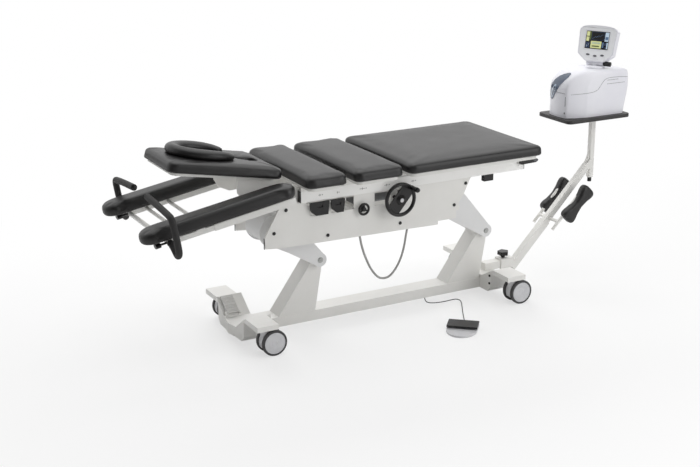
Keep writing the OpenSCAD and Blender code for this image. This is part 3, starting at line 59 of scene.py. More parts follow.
def placed(x, y, z, tilt=0.0, turn=0.0, roll=0.0):
    turned = (Matrix.Rotation(math.radians(turn), 4, "Z") @ Matrix.Rotation(math.radians(tilt), 4, "Y")
              @ Matrix.Rotation(math.radians(roll), 4, "X"))
    return Matrix.Translation(at(x, y, z)) @ turned @ Matrix.Scale(0.001, 4)


tablePlace = placed(0, 0, 0)
headPlace = placed(-255, 0, 857, tilt=10)
armPlace = placed(-255, 0, 719, tilt=-9.8)
mastPlace = placed(1168, 0, 96, tilt=-46)
displayPlace = placed(1660, 0, 1138, tilt=16, turn=28)
facePlace = displayPlace @ Matrix.Translation((0, 0, -10))
neckPlace = placed(1660, 0, 1138, turn=28)
unitPlace = placed(1433, 0, 878.3)


# Camera at the photograph's viewpoint
cameraView = {"lens": 66.4, "yaw": 28.769, "pitch": 17.6275, "roll": -0.18,
              "spot": (-2728.7, -5302.4, 2346.7)}


def makeCamera():
    yaw, pitch, roll = (math.radians(cameraView[k]) for k in ("yaw", "pitch", "roll"))
    forward = Vector((math.sin(yaw) * math.cos(pitch), math.cos(yaw) * math.cos(pitch), -math.sin(pitch)))
    right = Vector((math.cos(yaw), -math.sin(yaw), 0))
    up = right.cross(forward)
    across = right * math.cos(roll) + up * math.sin(roll)
    upward = up * math.cos(roll) - right * math.sin(roll)
    data = bpy.data.cameras.new("camera")
    data.sensor_width = 36
    data.lens = cameraView["lens"]
    data.clip_start, data.clip_end = 0.1, 200
    camera = bpy.data.objects.new("camera", data)
    scene.collection.objects.link(camera)
    turned = Matrix((across, upward, -forward)).transposed().to_4x4()
    camera.matrix_world = Matrix.Translation(at(*cameraView["spot"])) @ turned
    scene.camera = camera


makeCamera()


# Materials
def toLinear(value):
    return value / 12.92 if value <= 0.04045 else ((value + 0.055) / 1.055) ** 2.4


def colour(code):
    parts = [int(code[i:i + 2], 16) / 255 for i in (1, 3, 5)]
    return tuple(toLinear(p) for p in parts) + (1.0,)


def node(tree, kind, settings=None, links=None):
    # settings name the node's own values or its input sockets; links name the sockets that a wire feeds
    made = tree.nodes.new(kind)
    for key, value in (settings or {}).items():
        if key in made.inputs.keys():
            made.inputs[key].default_value = value
        else:
            setattr(made, key, value)
    for key, wire in (links or {}).items():
        tree.links.new(wire, made.inputs[key])
    return made


def ramp(tree, source, stops):
    made = node(tree, "ShaderNodeValToRGB", links={"Fac": source})
    elements = made.color_ramp.elements
    for i, (spot, value) in enumerate(stops):
        element = elements[i] if i < 2 else elements.new(spot)
        element.position = spot
        element.color = value
    return made.outputs["Color"]


def surface(name, shades, rough, grain=3.0, depth=0.2, patch=90.0, cells=False, spread=0.06, sockets=None):
    # grain, depth and patch are real sizes in mm: the surface's texture, how deep it is, and its blotches
    made = bpy.data.materials.new(name)
    made.use_nodes = True
    tree = made.node_tree
    tree.nodes.clear()
    spot = node(tree, "ShaderNodeTexCoord").outputs["Object"]
    cloud = node(tree, "ShaderNodeTexNoise", {"Scale": 1000 / patch, "Detail": 5.0, "Roughness": 0.6},
                 {"Vector": spot}).outputs["Fac"]
    shade = ramp(tree, cloud, [(0.3, colour(shades[0])), (0.72, colour(shades[1]))])
    if cells:
        fine = node(tree, "ShaderNodeTexVoronoi", {"Scale": 1000 / grain}, {"Vector": spot}).outputs["Distance"]
    else:
        fine = node(tree, "ShaderNodeTexNoise", {"Scale": 1000 / grain, "Detail": 3.0},
                    {"Vector": spot}).outputs["Fac"]
    gloss = node(tree, "ShaderNodeMapRange", {"To Min": max(rough - spread, 0.02), "To Max": rough + spread},
                 {"Value": cloud}).outputs["Result"]
    bump = node(tree, "ShaderNodeBump", {"Strength": 0.7, "Distance": depth / 1000},
                {"Height": fine}).outputs["Normal"]
    body = node(tree, "ShaderNodeBsdfPrincipled", sockets,
                {"Base Color": shade, "Roughness": gloss, "Normal": bump})
    node(tree, "ShaderNodeOutputMaterial", links={"Surface": body.outputs["BSDF"]})
    return made


# Upholstery vinyl, calendered with a fine leather grain: near black, and it lifts to grey at a glancing view
upholsteryVinyl = surface("upholsteryVinyl", ("#161515", "#1c1b1b"), 0.4, grain=2.6, depth=0.25, patch=140,
                          cells=True, sockets={"IOR": 1.52})
# Polyester powder coat on steel: warm white with a slight orange peel
powderCoat = surface("powderCoat", ("#ebeae7", "#e4e3df"), 0.36, grain=2.4, depth=0.1, patch=260,
                     sockets={"IOR": 1.5})
# The rails' coat, a touch whiter and glossier
railCoat = surface("railCoat", ("#f6f6f4", "#f1f0ee"), 0.3, grain=2.4, depth=0.08, patch=300)
# Grey pad print of the rail's marks
padPrint = surface("padPrint", ("#7c7b79", "#6e6d6b"), 0.5, grain=2.0, depth=0.02, patch=20)
# The same coat on the lift arms, a shade cooler
powderCoatCool = surface("powderCoatCool", ("#e6e6e6", "#dfdfdf"), 0.4, grain=2.4, depth=0.1, patch=220)
# Injection-moulded ABS of the traction unit: cool white with a spark-eroded texture
mouldedAbs = surface("mouldedAbs", ("#e9e9ee", "#e3e3ea"), 0.34, grain=1.6, depth=0.08, patch=180)
# ABS of the display's face: its grey is painted lighter, near white, as painted light that makes up for the shade
# the tilted face sits in
faceAbsPaintedLight = surface("faceAbsPaintedLight", ("#f3f4f6", "#edeef1"), 0.38, grain=1.6, depth=0.08, patch=120)
# Glass-filled nylon of knobs, wheels and levers: black, satin, faint flow marks
blackNylon = surface("blackNylon", ("#0f0e0e", "#171616"), 0.38, grain=2.0, depth=0.12, patch=40)
# Polyamide caster discs: pale grey, moulded
palePolyamide = surface("palePolyamide", ("#d5d5d7", "#c9c9cc"), 0.42, grain=2.0, depth=0.1, patch=60)
# Polyurethane tyre, dark grey, scuffed
tyreRubber = surface("tyreRubber", ("#3b3a3b", "#4a494a"), 0.62, grain=2.4, depth=0.2, patch=30)
# EPDM foam sleeve of the grips: matt black with open pores
foamSleeve = surface("foamSleeve", ("#252424", "#2f2e2e"), 0.72, grain=2.2, depth=0.5, patch=50, cells=True)
# Zinc-plated steel pins
zincSteel = surface("zincSteel", ("#b9bab8", "#a5a6a4"), 0.32, grain=3.0, depth=0.05, patch=40,
                    sockets={"Metallic": 1.0})
# Polished actuator rod
chromedSteel = surface("chromedSteel", ("#c9cacb", "#bfc0c2"), 0.16, grain=4.0, depth=0.02, patch=60,
                       sockets={"Metallic": 1.0})
# Extruded actuator tube and motor shell, grey paint
greyPaint = surface("greyPaint", ("#6f7072", "#646567"), 0.45, grain=2.4, depth=0.1, patch=80)
# PVC cord of the foot switch and the thicker grey lift cable
blackPvc = surface("blackPvc", ("#1c1b1b", "#252424"), 0.48, grain=3.0, depth=0.1, patch=30)
greyPvc = surface("greyPvc", ("#a9a8a6", "#9a9997"), 0.5, grain=3.0, depth=0.1, patch=40)
# High-pressure laminate of the shelf: black, fine matt pebble
blackLaminate = surface("blackLaminate", ("#2a2929", "#312f2f"), 0.5, grain=2.2, depth=0.15, patch=120,
                        cells=True)
# Grey ABS tips, buttons and stops
slateAbs = surface("slateAbs", ("#5d5e62", "#505155"), 0.46, grain=2.0, depth=0.1, patch=40)
# Red nylon brake tab
redNylon = surface("redNylon", ("#a8324a", "#95293f"), 0.4, grain=2.0, depth=0.1, patch=20)
# Ribbed thermoplastic of the brake pedal, pale grey
pedalRubber = surface("pedalRubber", ("#d9d8d6", "#cfcecb"), 0.55, grain=2.2, depth=0.2, patch=40)
# Smoked polycarbonate window
smokedWindow = surface("smokedWindow", ("#2c3b52", "#42536c"), 0.2, grain=30.0, depth=0.02, patch=30,
                       sockets={"IOR": 1.58, "Coat Weight": 0.6})
windowCore = surface("windowCore", ("#9fb3c9", "#c6d3e0"), 0.2, grain=20.0, depth=0.02, patch=18,
                     sockets={"IOR": 1.58, "Coat Weight": 0.6})
print("materials made")


# Shapes; all sizes in mm
def box(bm, low, high):
    low, high = Vector(low), Vector(high)
    spread = Matrix.Diagonal((*(high - low), 1))
    made = bmesh.ops.create_cube(bm, size=1, matrix=Matrix.Translation((low + high) / 2) @ spread)
    return made["verts"]


def edgesOf(verts):
    return list({e for v in verts for e in v.link_edges})


def roundOff(bm, edges, radius, steps=3):
    return bmesh.ops.bevel(bm, geom=edges, offset=radius, offset_type="OFFSET", segments=steps, profile=0.5,
                           affect="EDGES", material=-1, clamp_overlap=True)


def softBox(bm, low, high, radius, steps=3):
    roundOff(bm, edgesOf(box(bm, low, high)), radius, steps)


def rod(bm, start, end, radius, endRadius=None, sides=32):
    start, end = Vector(start), Vector(end)
    turn = (end - start).to_track_quat("Z", "Y").to_matrix().to_4x4()
    bmesh.ops.create_cone(bm, cap_ends=True, segments=sides, radius1=radius,
                          radius2=radius if endRadius is None else endRadius, depth=(end - start).length,
                          matrix=Matrix.Translation((start + end) / 2) @ turn)


def lathe(bm, profile, place, steps=48, shade=0, closed=False):
    # profile is pairs of radius and height, turned about Z and then placed
    before = set(bm.verts)
    kept = set(bm.faces)
    ends = [bm.verts.new((r, 0, h)) for r, h in profile]
    edges = [bm.edges.new(pair) for pair in zip(ends, ends[1:] + ends[:1] if closed else ends[1:])]
    bmesh.ops.spin(bm, geom=ends + edges, cent=(0, 0, 0), axis=(0, 0, 1), angle=math.tau, steps=steps,
                   use_merge=True)
    made = [v for v in bm.verts if v not in before]
    bmesh.ops.remove_doubles(bm, verts=made, dist=0.001)
    made = [v for v in bm.verts if v not in before]
    bmesh.ops.transform(bm, matrix=place, verts=made)
    for f in bm.faces:
        if f not in kept:
            f.material_index = shade


def extruded(bm, outline, thickness):
    # outline is points in X and Y; the plate stands from Z 0 up
    face = bm.faces.new([bm.verts.new((x, y, 0)) for x, y in outline])
    grown = bmesh.ops.extrude_face_region(bm, geom=[face])["geom"]
    verts = [g for g in grown if isinstance(g, bmesh.types.BMVert)]
    bmesh.ops.translate(bm, vec=(0, 0, thickness), verts=verts)
    bmesh.ops.recalc_face_normals(bm, faces=bm.faces)
    return verts


def piece(name, bm, place, body, finishes, replaces=(), sharp=34):
    bmesh.ops.remove_doubles(bm, verts=bm.verts, dist=0.002)
    bmesh.ops.recalc_face_normals(bm, faces=bm.faces)
    bm.transform(place)
    mesh = bpy.data.meshes.new(name)
    bm.to_mesh(mesh)
    bm.free()
    return dress(name, mesh, body, finishes, replaces, sharp)


def dress(name, mesh, body, finishes, replaces=(), sharp=34):
    made = bpy.data.objects.new(name, mesh)
    scene.collection.objects.link(made)
    for finish in finishes if isinstance(finishes, (list, tuple)) else [finishes]:
        mesh.materials.append(finish)
    mesh.shade_smooth()
    mesh.set_sharp_from_angle(angle=math.radians(sharp))
    if replaces:
        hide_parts(*replaces)
    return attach(made, body)


def smoothRoute(points, steps):
    # the same curve through the points as the source draws
    made = []
    for i in range(len(points) - 1):
        a, b, c, d = (Vector(points[min(max(i + k, 0), len(points) - 1)]) for k in (-1, 0, 1, 2))
        for k in range(steps):
            t = k / steps
            made.append(b + (c - a) * t / 2 + (2 * a - 5 * b + 4 * c - d) * t * t / 2
                        + (3 * b - a - 3 * c + d) * t ** 3 / 2)
    return made + [Vector(points[-1])]


def tubeMesh(name, route, radius, place, round=3):
    curve = bpy.data.curves.new(name, "CURVE")
    curve.dimensions = "3D"
    curve.bevel_depth = radius
    curve.bevel_resolution = round
    curve.use_fill_caps = True
    spline = curve.splines.new("POLY")
    spline.points.add(len(route) - 1)
    for point, spot in zip(spline.points, route):
        point.co = (*spot, 1)
    holder = bpy.data.objects.new(name + "_line", curve)
    mesh = bpy.data.meshes.new_from_object(holder)
    bpy.data.objects.remove(holder)
    mesh.transform(place)
    return mesh


# Cords; routes listed in mm
footCord = {
    "diameter": 4.5, "length": 0.566,
    "route": [(612, -14, 23), (612, -15, 16), (611, -20, 8), (609, -31, 3), (607, -45, 2.3), (613, -61, 2.3),
              (634, -75, 2.3), (665, -81, 2.3), (700, -83, 2.3), (735, -81, 2.3), (757, -83, 2.3),
              (768, -95, 2.3), (767, -114, 2.3), (755, -142, 2.3), (730, -185, 2.3), (701, -233, 2.3),
              (670, -286, 2.3), (644, -332, 2.3), (628, -360, 3), (617, -378, 4), (607, -390, 4)],
}
liftCable = {
    "diameter": 11, "length": 0.839,
    "route": [(122, -130, 570), (126, -130, 540), (143, -130, 502), (161, -130, 462), (174, -130, 405),
              (185, -130, 368), (199, -130, 331), (228, -130, 272), (262, -130, 229), (293, -130, 213),
              (331, -130, 217), (367, -130, 250), (397, -130, 302), (415, -130, 360), (426, -130, 420),
              (437, -130, 466), (455, -130, 504), (473, -130, 536), (480, -130, 570)],
}


def cordPiece(name, cord, body, finish, replaced, **facts):
    route = smoothRoute(cord["route"], 6)
    mesh = tubeMesh(name, route, cord["diameter"] / 2, tablePlace)
    made = dress(name, mesh, body, finish, [replaced])
    return made


cordPiece("foot_switch_lead", footCord, "base", blackPvc, "foot_switch_cord", far_end="object",
          stiffness="medium", lay="loose")
loop = cordPiece("lift_cable_loop", liftCable, "platform", greyPvc, "cable_loop", far_end="object",
                 stiffness="medium", lay="hanging")
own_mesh(loop)
print("cords laid")


# Upholstery
def padBlank(size, corner, rim, lowRim, taper=0.0, inset=0.0):
    length, width, height = (s - inset for s in size)
    bm = bmesh.new()
    verts = box(bm, (-length / 2, -width / 2, -height / 2), (length / 2, width / 2, height / 2))
    upright = [e for e in edgesOf(verts) if abs(e.verts[0].co.z - e.verts[1].co.z) > height / 2]
    roundOff(bm, upright, corner, 8)
    for side, radius in ((1, rim), (-1, lowRim)):
        rims = [e for e in bm.edges if all(v.co.z * side > height / 2 - 0.01 for v in e.verts)
                and any(abs(f.normal.z) < 0.5 for f in e.link_faces)]
        roundOff(bm, rims, radius, 4)
    for v in bm.verts:
        v.co.y *= 1 + taper * v.co.x / length
    return bm


def evaluated(obj):
    return bpy.data.meshes.new_from_object(obj.evaluated_get(bpy.context.evaluated_depsgraph_get()))


airFill = {"pressure": 4.0, "frames": 20, "quality": 5, "mass": 0.3}


def swell(name, bm, voxel, cap, flatBelow):
    # even mesh, then air pressure inside the cover; no point moves further than cap. Sizes in mm
    bmesh.ops.recalc_face_normals(bm, faces=bm.faces)
    bm.transform(Matrix.Scale(0.001, 4))
    mesh = bpy.data.meshes.new(name)
    bm.to_mesh(mesh)
    bm.free()
    pad = bpy.data.objects.new(name + "_blank", mesh)
    scene.collection.objects.link(pad)
    even = pad.modifiers.new("even", "REMESH")
    even.mode = "VOXEL"
    even.voxel_size = voxel / 1000
    mesh = evaluated(pad)
    pad.modifiers.clear()
    pad.data = mesh
    rest = [v.co.copy() for v in mesh.vertices]
    held = pad.vertex_groups.new(name="held")
    held.add([v.index for v in mesh.vertices if v.co.z < flatBelow / 1000], 1.0, "REPLACE")
    cover = pad.modifiers.new("cover", "CLOTH")
    cover.settings.quality = airFill["quality"]
    cover.settings.mass = airFill["mass"]
    cover.settings.use_pressure = True
    cover.settings.uniform_pressure_force = airFill["pressure"]
    cover.settings.effector_weights.gravity = 0
    cover.settings.vertex_group_mass = "held"
    cover.collision_settings.use_collision = False
    cover.point_cache.frame_start, cover.point_cache.frame_end = 1, airFill["frames"]
    for f in range(1, airFill["frames"] + 1):
        scene.frame_set(f)
    swollen = evaluated(pad)
    for v, start, end in zip(mesh.vertices, rest, [w.co.copy() for w in swollen.vertices]):
        step = end - start
        v.co = start + (step * (cap / 1000 / step.length) if step.length > cap / 1000 else step)
    pad.modifiers.clear()
    scene.frame_set(1)
    bpy.data.objects.remove(pad)
    mesh.name = name
    return mesh


def crown(mesh, size, height, sideDraw=0.0):
    # fuller in the middle of the top, and sides drawn in between the corners
    half = Vector(size) / 2000
    for v in mesh.vertices:
        u, w = min(abs(v.co.x / half.x), 1), min(abs(v.co.y / half.y), 1)
        if v.co.z > 0:
            v.co.z += height / 1000 * (1 - u ** 4) * (1 - w ** 4) * v.co.z / half.z
        v.co.y -= math.copysign(sideDraw / 1000 * (1 - u * u) * w ** 6, v.co.y)
        v.co.x -= math.copysign(sideDraw / 1000 * (1 - w * w) * u ** 6, v.co.x)


def finishPad(name, mesh, place, body, replaced, evenings=2):
    bm = bmesh.new()
    bm.from_mesh(mesh)
    for _ in range(evenings):
        bmesh.ops.smooth_vert(bm, verts=bm.verts, factor=0.5, use_axis_x=True, use_axis_y=True,
                              use_axis_z=True)
    bm.to_mesh(mesh)
    bm.free()
    mesh.transform(place @ Matrix.Scale(1000, 4))
    made = dress(name, mesh, body, upholsteryVinyl, replaced, sharp=180)
    fine = made.modifiers.new("fine", "SUBSURF")
    fine.levels = fine.render_levels = 1
    return made


tableCushions = {"width": 686, "height": 56, "corner": 40, "rim": 20, "lowRim": 8, "crown": 5, "draw": 4,
                 "seat": 777.5, "long": 400,
                 "spans": {"cushion_thoracic": (-217, 0, "platform"), "cushion_lumbar": (28, 299, "platform"),
                           "cushion_long": (318, 1100, "carriage")}}


def makeTableCushions(c):
    for replaced, (x0, x1, body) in c["spans"].items():
        size = (x1 - x0, c["width"], c["height"])
        bm = padBlank(size, c["corner"], c["rim"], c["lowRim"], inset=5)
        mesh = swell(replaced + "_cover", bm, 9 if x1 - x0 > c["long"] else 7, 4, -c["height"] / 2 + 9)
        crown(mesh, size, c["crown"], c["draw"])
        finishPad(replaced + "_cover", mesh, placed((x0 + x1) / 2, 0, c["seat"] + c["height"] / 2), body,
                  [replaced])


makeTableCushions(tableCushions)
headCushion = {"size": (558, 380, 54), "corner": 40, "rim": 20, "lowRim": 8, "taper": 0.16,
               "slot": (-106, 112, 74), "middle": -279, "crown": 4, "draw": 2}


def makeHeadCushion(c):
    bm = padBlank(c["size"], c["corner"], c["rim"], c["lowRim"], taper=c["taper"], inset=5)
    pad = bpy.data.objects.new("head_blank", bpy.data.meshes.new("head_blank"))
    bm.to_mesh(pad.data)
    bm.free()
    scene.collection.objects.link(pad)
    middle, slotLength, slotWidth = c["slot"]
    bm = bmesh.new()
    middle += c["size"][0] / 2
    verts = box(bm, (middle - slotLength / 2, -slotWidth / 2, -80), (middle + slotLength / 2, slotWidth / 2, 80))
    roundOff(bm, [e for e in edgesOf(verts) if abs(e.verts[0].co.z - e.verts[1].co.z) > 80],
             slotWidth / 2 - 2, 8)
    punch = bpy.data.objects.new("slot_punch", bpy.data.meshes.new("slot_punch"))
    bmesh.ops.recalc_face_normals(bm, faces=bm.faces)
    bm.to_mesh(punch.data)
    bm.free()
    scene.collection.objects.link(punch)
    cut = pad.modifiers.new("cut", "BOOLEAN")
    cut.object = punch
    cut.operation = "DIFFERENCE"
    bm = bmesh.new()
    bm.from_mesh(evaluated(pad))
    for spare in (pad, punch):
        bpy.data.objects.remove(spare)
    mesh = swell("head_cushion_cover", bm, 6, 4, -c["size"][2] / 2 + 9)
    crown(mesh, c["size"], c["crown"], c["draw"])
    place = headPlace @ Matrix.Translation((c["middle"], 0, -c["size"][2] / 2 - 2))
    finishPad("head_cushion_cover", mesh, place, "head_section", ["head_cushion"])


makeHeadCushion(headCushion)
facePillow = {"middle": -332, "reach": (145, 103), "roll": 74, "height": 52, "gap": 35, "circle": 100,
              "slim": 0.42, "flat": 0.75}


def makeFacePillow(c):
    # a flat-bottomed roll is spun round a circle, then drawn out to an oval that thins at its two ends
    bm = bmesh.new()
    thick, circle = c["roll"] / 2 - 4, c["circle"]
    ring = bmesh.ops.create_circle(bm, cap_ends=False, segments=20, radius=thick,
                                   matrix=Matrix.Translation((circle, 0, 0)) @ Matrix.Rotation(math.pi / 2, 4, "X"))
    start = math.radians(c["gap"])
    bmesh.ops.rotate(bm, cent=(0, 0, 0), matrix=Matrix.Rotation(start, 3, "Z"), verts=ring["verts"])
    bmesh.ops.spin(bm, geom=list(bm.edges) + list(bm.verts), cent=(0, 0, 0), axis=(0, 0, 1),
                   angle=math.tau - 2 * start, steps=36)
    bmesh.ops.holes_fill(bm, edges=[e for e in bm.edges if e.is_boundary], sides=0)
    for v in bm.verts:
        turn = math.atan2(v.co.y, v.co.x) % math.tau
        away = abs(math.degrees(turn) - 180) / (180 - c["gap"])
        slim = 1 - c["slim"] * min(away, 1) ** 5
        out = (v.co.xy.length - circle) * slim
        lift = (v.co.z / thick + c["flat"]) / (1 + c["flat"]) * (c["height"] - 6) * slim
        v.co = ((c["reach"][0] + out) * math.cos(turn), (c["reach"][1] + out) * math.sin(turn),
                max(lift, 0) + 1)
    mesh = swell("face_pillow_cover", bm, 6, 5, 6)
    finishPad("face_pillow_cover", mesh, headPlace @ Matrix.Translation((c["middle"], 0, 0.5)), "head_section",
              ["face_pillow"])


makeFacePillow(facePillow)
armPads = {"size": (755, 125, 57), "middle": -353.5, "side": 245, "height": 54}


def makeArmPads(c):
    for name, side in (("near", -1), ("far", 1)):
        bm = padBlank(c["size"], c["size"][1] / 2 - 6, 21, 12, inset=5)
        mesh = swell("arm_pad_cover_" + name, bm, 6, 5, -c["size"][2] / 2 + 7)
        crown(mesh, c["size"], 3)
        place = armPlace @ Matrix.Translation((c["middle"], side * c["side"], c["height"] - 1))
        finishPad("arm_pad_cover_" + name, mesh, place, "arm_slide", ["arm_pads"])


makeArmPads(armPads)
bolster = {"length": 226, "width": 115, "thick": 48, "middle": (466, 92, -32), "waist": 0.43, "edge": 11}


def makeBolsters(c):
    def squared(value):
        return math.copysign(abs(value) ** 0.5, value)

    for name, side in (("near", -1), ("far", 1)):
        bm = bmesh.new()
        made = bmesh.ops.create_circle(bm, cap_ends=True, segments=48, radius=1)
        for v in made["verts"]:
            u, w = squared(v.co.x), squared(v.co.y)
            v.co.x = u * (c["length"] / 2 - 3)
            v.co.y = w * (c["width"] / 2 - 3) * (1 - c["waist"] * (1 - u * u) ** 2)
        grown = bmesh.ops.extrude_face_region(bm, geom=list(bm.faces))["geom"]
        bmesh.ops.translate(bm, vec=(0, 0, c["thick"] - 6),
                            verts=[g for g in grown if isinstance(g, bmesh.types.BMVert)])
        bmesh.ops.translate(bm, vec=(0, 0, 3 - c["thick"] / 2), verts=bm.verts)
        rims = [e for e in bm.edges if abs(e.verts[0].co.z - e.verts[1].co.z) < 1]
        roundOff(bm, rims, c["edge"], 4)
        mesh = swell("bolster_cover_" + name, bm, 5, 4, -200)
        x, y, z = c["middle"]
        place = mastPlace @ Matrix.Translation((x, side * y, z)) @ Matrix.Rotation(math.pi / 2, 4, "X")
        finishPad("bolster_cover_" + name, mesh, place, "mast", ["bolsters"])


makeBolsters(bolster)
print("upholstery filled")


# Hand grips; the route is Y and Z in the arm rest's plane
grip = {"x": -606, "radius": 15.4, "pin": (228, 268, 7),
        "route": [(267.3, 0), (272.1, 0), (278.9, 0), (301.4, -13.2), (332, -40.5), (357.5, -24.2),
                  (366, 10.2), (366, 58.4), (364.3, 112), (355.8, 135.8), (332, 146), (225.5, 158.5), (85, 171)]}


def makeGrips(c):
    for name, side in (("near", -1), ("far", 1)):
        route = smoothRoute([(c["x"], side * y, z) for y, z in c["route"]], 5)
        mesh = tubeMesh("grip_sleeve_" + name, route, c["radius"], armPlace, 6)
        dress("grip_sleeve_" + name, mesh, "grip_" + name, foamSleeve, ["grip_" + name], 50)
        bm = bmesh.new()
        tip = Vector(route[-1])
        back = (Vector(route[-2]) - tip).normalized()
        turn = back.to_track_quat("Z", "Y").to_matrix().to_4x4()
        lathe(bm, [(0, -3), (9, -2.4), (13, 0), (14.4, 3), (14.4, 9), (0, 9)],
              Matrix.Translation(tip) @ turn, 32)
        inner, outer, pinRadius = c["pin"]
        rod(bm, (c["x"], side * inner, 0), (c["x"], side * outer, 0), pinRadius)
        piece("grip_plug_" + name, bm, armPlace, "grip_" + name, blackNylon)


makeGrips(grip)
print("grips made")


handwheel = {"place": (338, -220, 631), "rim": 76, "rimRadius": 9, "web": 3.4, "barShare": 0.46, "hub": 17,
             "openingAt": -40, "shaft": (-12, -92, 9), "spinnerAt": 50, "spinnerPin": 5}


def ringOf(radius, thickness, points=16):
    return [(radius + thickness * math.cos(math.tau * k / points), thickness * math.sin(math.tau * k / points))
            for k in range(points)]


def makeHandwheel(c):
    place = placed(*c["place"], roll=90)
    bm = bmesh.new()
    lathe(bm, ringOf(c["rim"], c["rimRadius"]), Matrix(), 72, closed=True)
    # the web is a broad bar across the rim; the two openings beside it are segments of its circle
    bar, reach = c["rim"] * c["barShare"], c["rim"] - 4
    lean = Matrix.Rotation(math.radians(c["openingAt"]), 4, "Z")
    edge = math.sqrt(reach ** 2 - bar ** 2)
    turns = [math.atan2(edge, bar) + (math.pi - 2 * math.atan2(edge, bar)) * k / 24 for k in range(25)]
    outline = [(reach * math.cos(t), reach * math.sin(t)) for t in turns]
    outline += [(-x, -y) for x, y in outline]
    verts = extruded(bm, outline, 2 * c["web"])
    plate = {v for e in edgesOf(verts) for v in e.verts}
    bmesh.ops.translate(bm, vec=(0, 0, -c["web"]), verts=list(plate))
    bmesh.ops.rotate(bm, cent=(0, 0, 0), matrix=lean.to_3x3(), verts=list(plate))
    lathe(bm, [(0, -8), (c["hub"], -8), (c["hub"] + 8, -4), (c["hub"] + 8, 3), (c["hub"] + 4, 8),
               (c["hub"] - 2, 14), (11, 16), (10.5, 15), (0, 15)], Matrix(), 48)
    near, far, shaftRadius = c["shaft"]
    rod(bm, (0, 0, near), (0, 0, far), shaftRadius)
    turn = math.radians(c["spinnerAt"])
    spot = Vector((c["rim"] * math.cos(turn), c["rim"] * math.sin(turn), 0))
    pin = c["spinnerPin"]
    lathe(bm, [(0, 0), (11, 0), (11, 8), (8.5, 12.6), (pin, 12.6), (pin, 60), (0, 60)],
          Matrix.Translation(spot), 32)
    lathe(bm, [(0, 13.5), (9.6, 13.5), (10.2, 15.2), (9, 17), (0, 17.4)], Matrix(), 32, shade=1)
    piece("handwheel_rim_and_web", bm, place, "handwheel", [blackNylon, palePolyamide],
          ["handwheel"])
    bm = bmesh.new()
    bore = pin + 0.1
    lathe(bm, [(bore, 0), (9.4, 0), (10.6, 1.4), (11.9, 8), (11.2, 20), (10.2, 30), (10.9, 42), (12.3, 54),
               (12.2, 61), (10.8, 67), (7.6, 71), (0, 72), (0, 66), (bore, 66)],
          Matrix.Translation(spot + Vector((0, 0, c["rimRadius"] + 4))), 40, closed=True)
    piece("spinner_handle_sleeve", bm, place, "spinner", blackNylon, ["spinner_handle"])


smallHandwheel = {"place": (155, -182, 602), "ring": 25.5, "ringRadius": 5.8, "level": 7, "spokes": 3,
                  "spoke": (23, 5.6, 4.6), "shaft": (-34, 4, 6), "collars": ((-11, 3), (-34, -23)), "collar": 12}


def makeSmallHandwheel(c):
    bm = bmesh.new()
    level = c["level"]
    reach, thick, thin = c["spoke"]
    lathe(bm, ringOf(c["ring"], c["ringRadius"]), Matrix.Translation((0, 0, level)), 48, closed=True)
    for k in range(c["spokes"]):
        turn = math.tau * k / c["spokes"] + math.pi / 2
        rod(bm, (0, 0, level), (reach * math.cos(turn), reach * math.sin(turn), level), thick, thin, 20)
    lathe(bm, [(0, 0.5), (9, 0.5), (11, 3), (11, 11), (9, 14), (0, 15)], Matrix(), 32)
    near, far, shaftRadius = c["shaft"]
    rod(bm, (0, 0, near), (0, 0, far), shaftRadius)
    for low, high in c["collars"]:
        lathe(bm, [(0, low), (c["collar"], low), (c["collar"], high), (0, high)], Matrix(), 32)
    piece("small_handwheel_ring", bm, placed(*c["place"], roll=90), "small_handwheel", blackNylon,
          ["small_handwheel"])


makeHandwheel(handwheel)
makeSmallHandwheel(smallHandwheel)
print("handwheels made")


caster = {"stems": {"head_near": (-412, -259), "head_far": (-412, 259), "foot_near": (981, -259),
                    "foot_far": (981, 259)},
          "trail": 36, "radius": 62.5, "outer": 41, "axle": (24, 6), "tab": ((96, -11, 56), (109.4, 11, 69))}


def makeCasters(c):
    tyre = [(51.6, 1.4), (53.4, 0.2), (58.4, 0.2), (61.3, 1.7), (62.5, 4.6), (62.5, 15.4), (61.3, 18.3),
            (58.4, 19.8), (53, 19.8), (51.6, 18)]
    disc = [(0, 2.6), (8.5, 2.6), (9.6, 1.4), (15, 1.4), (16, 2.4), (17.6, 2.4), (18.6, 1.4), (31, 1),
            (32, 1.9), (33.6, 1.9), (34.6, 1), (45.6, 1.3), (46.6, 2.3), (48.4, 2.3), (49.4, 1.1), (51.4, 0.9),
            (51.4, 17), (49.4, 14), (16, 14), (15, 19.6), (0, 19.6)]
    for corner, (x, y) in c["stems"].items():
        treads, discs = bmesh.new(), bmesh.new()
        for side in (-1, 1):
            # profile heights run inwards from each wheel's outer face
            out = Matrix.Translation((c["trail"], side * c["outer"], c["radius"]))
            place = out @ Matrix.Rotation(side * math.pi / 2, 4, "X")
            lathe(treads, tyre, place, 64, closed=True)
            lathe(discs, disc, place, 64)
        reach, axleRadius = c["axle"]
        rod(discs, (c["trail"], -reach, c["radius"]), (c["trail"], reach, c["radius"]), axleRadius)
        spot = placed(x, y, 0)
        piece("caster_tyres_" + corner, treads, spot, "wheels_" + corner, tyreRubber,
              ["caster_wheels_" + corner])
        piece("caster_discs_" + corner, discs, spot, "wheels_" + corner, palePolyamide)
    bm = bmesh.new()
    softBox(bm, *c["tab"], 2.5)
    piece("brake_tab", bm, placed(*c["stems"]["head_near"], 0), "fork_head_near", redNylon)


makeCasters(caster)
print("casters made")


unit = {"length": 376, "width": 214, "height": 237, "nose": 96, "front": -15, "corner": 72, "crown": 10,
        "edge": 20, "blend": (-6, -3, 0, 3, 6)}


def noseAt(y, c):
    # where the shell begins along X, at a distance y from its middle plane
    if y < c["corner"]:
        return c["front"] + c["crown"] * (y / c["corner"]) ** 2
    start = c["front"] + c["crown"]
    return start + (c["nose"] - start) * min((y - c["corner"]) / (c["width"] / 2 - c["corner"]), 1) ** 1.2


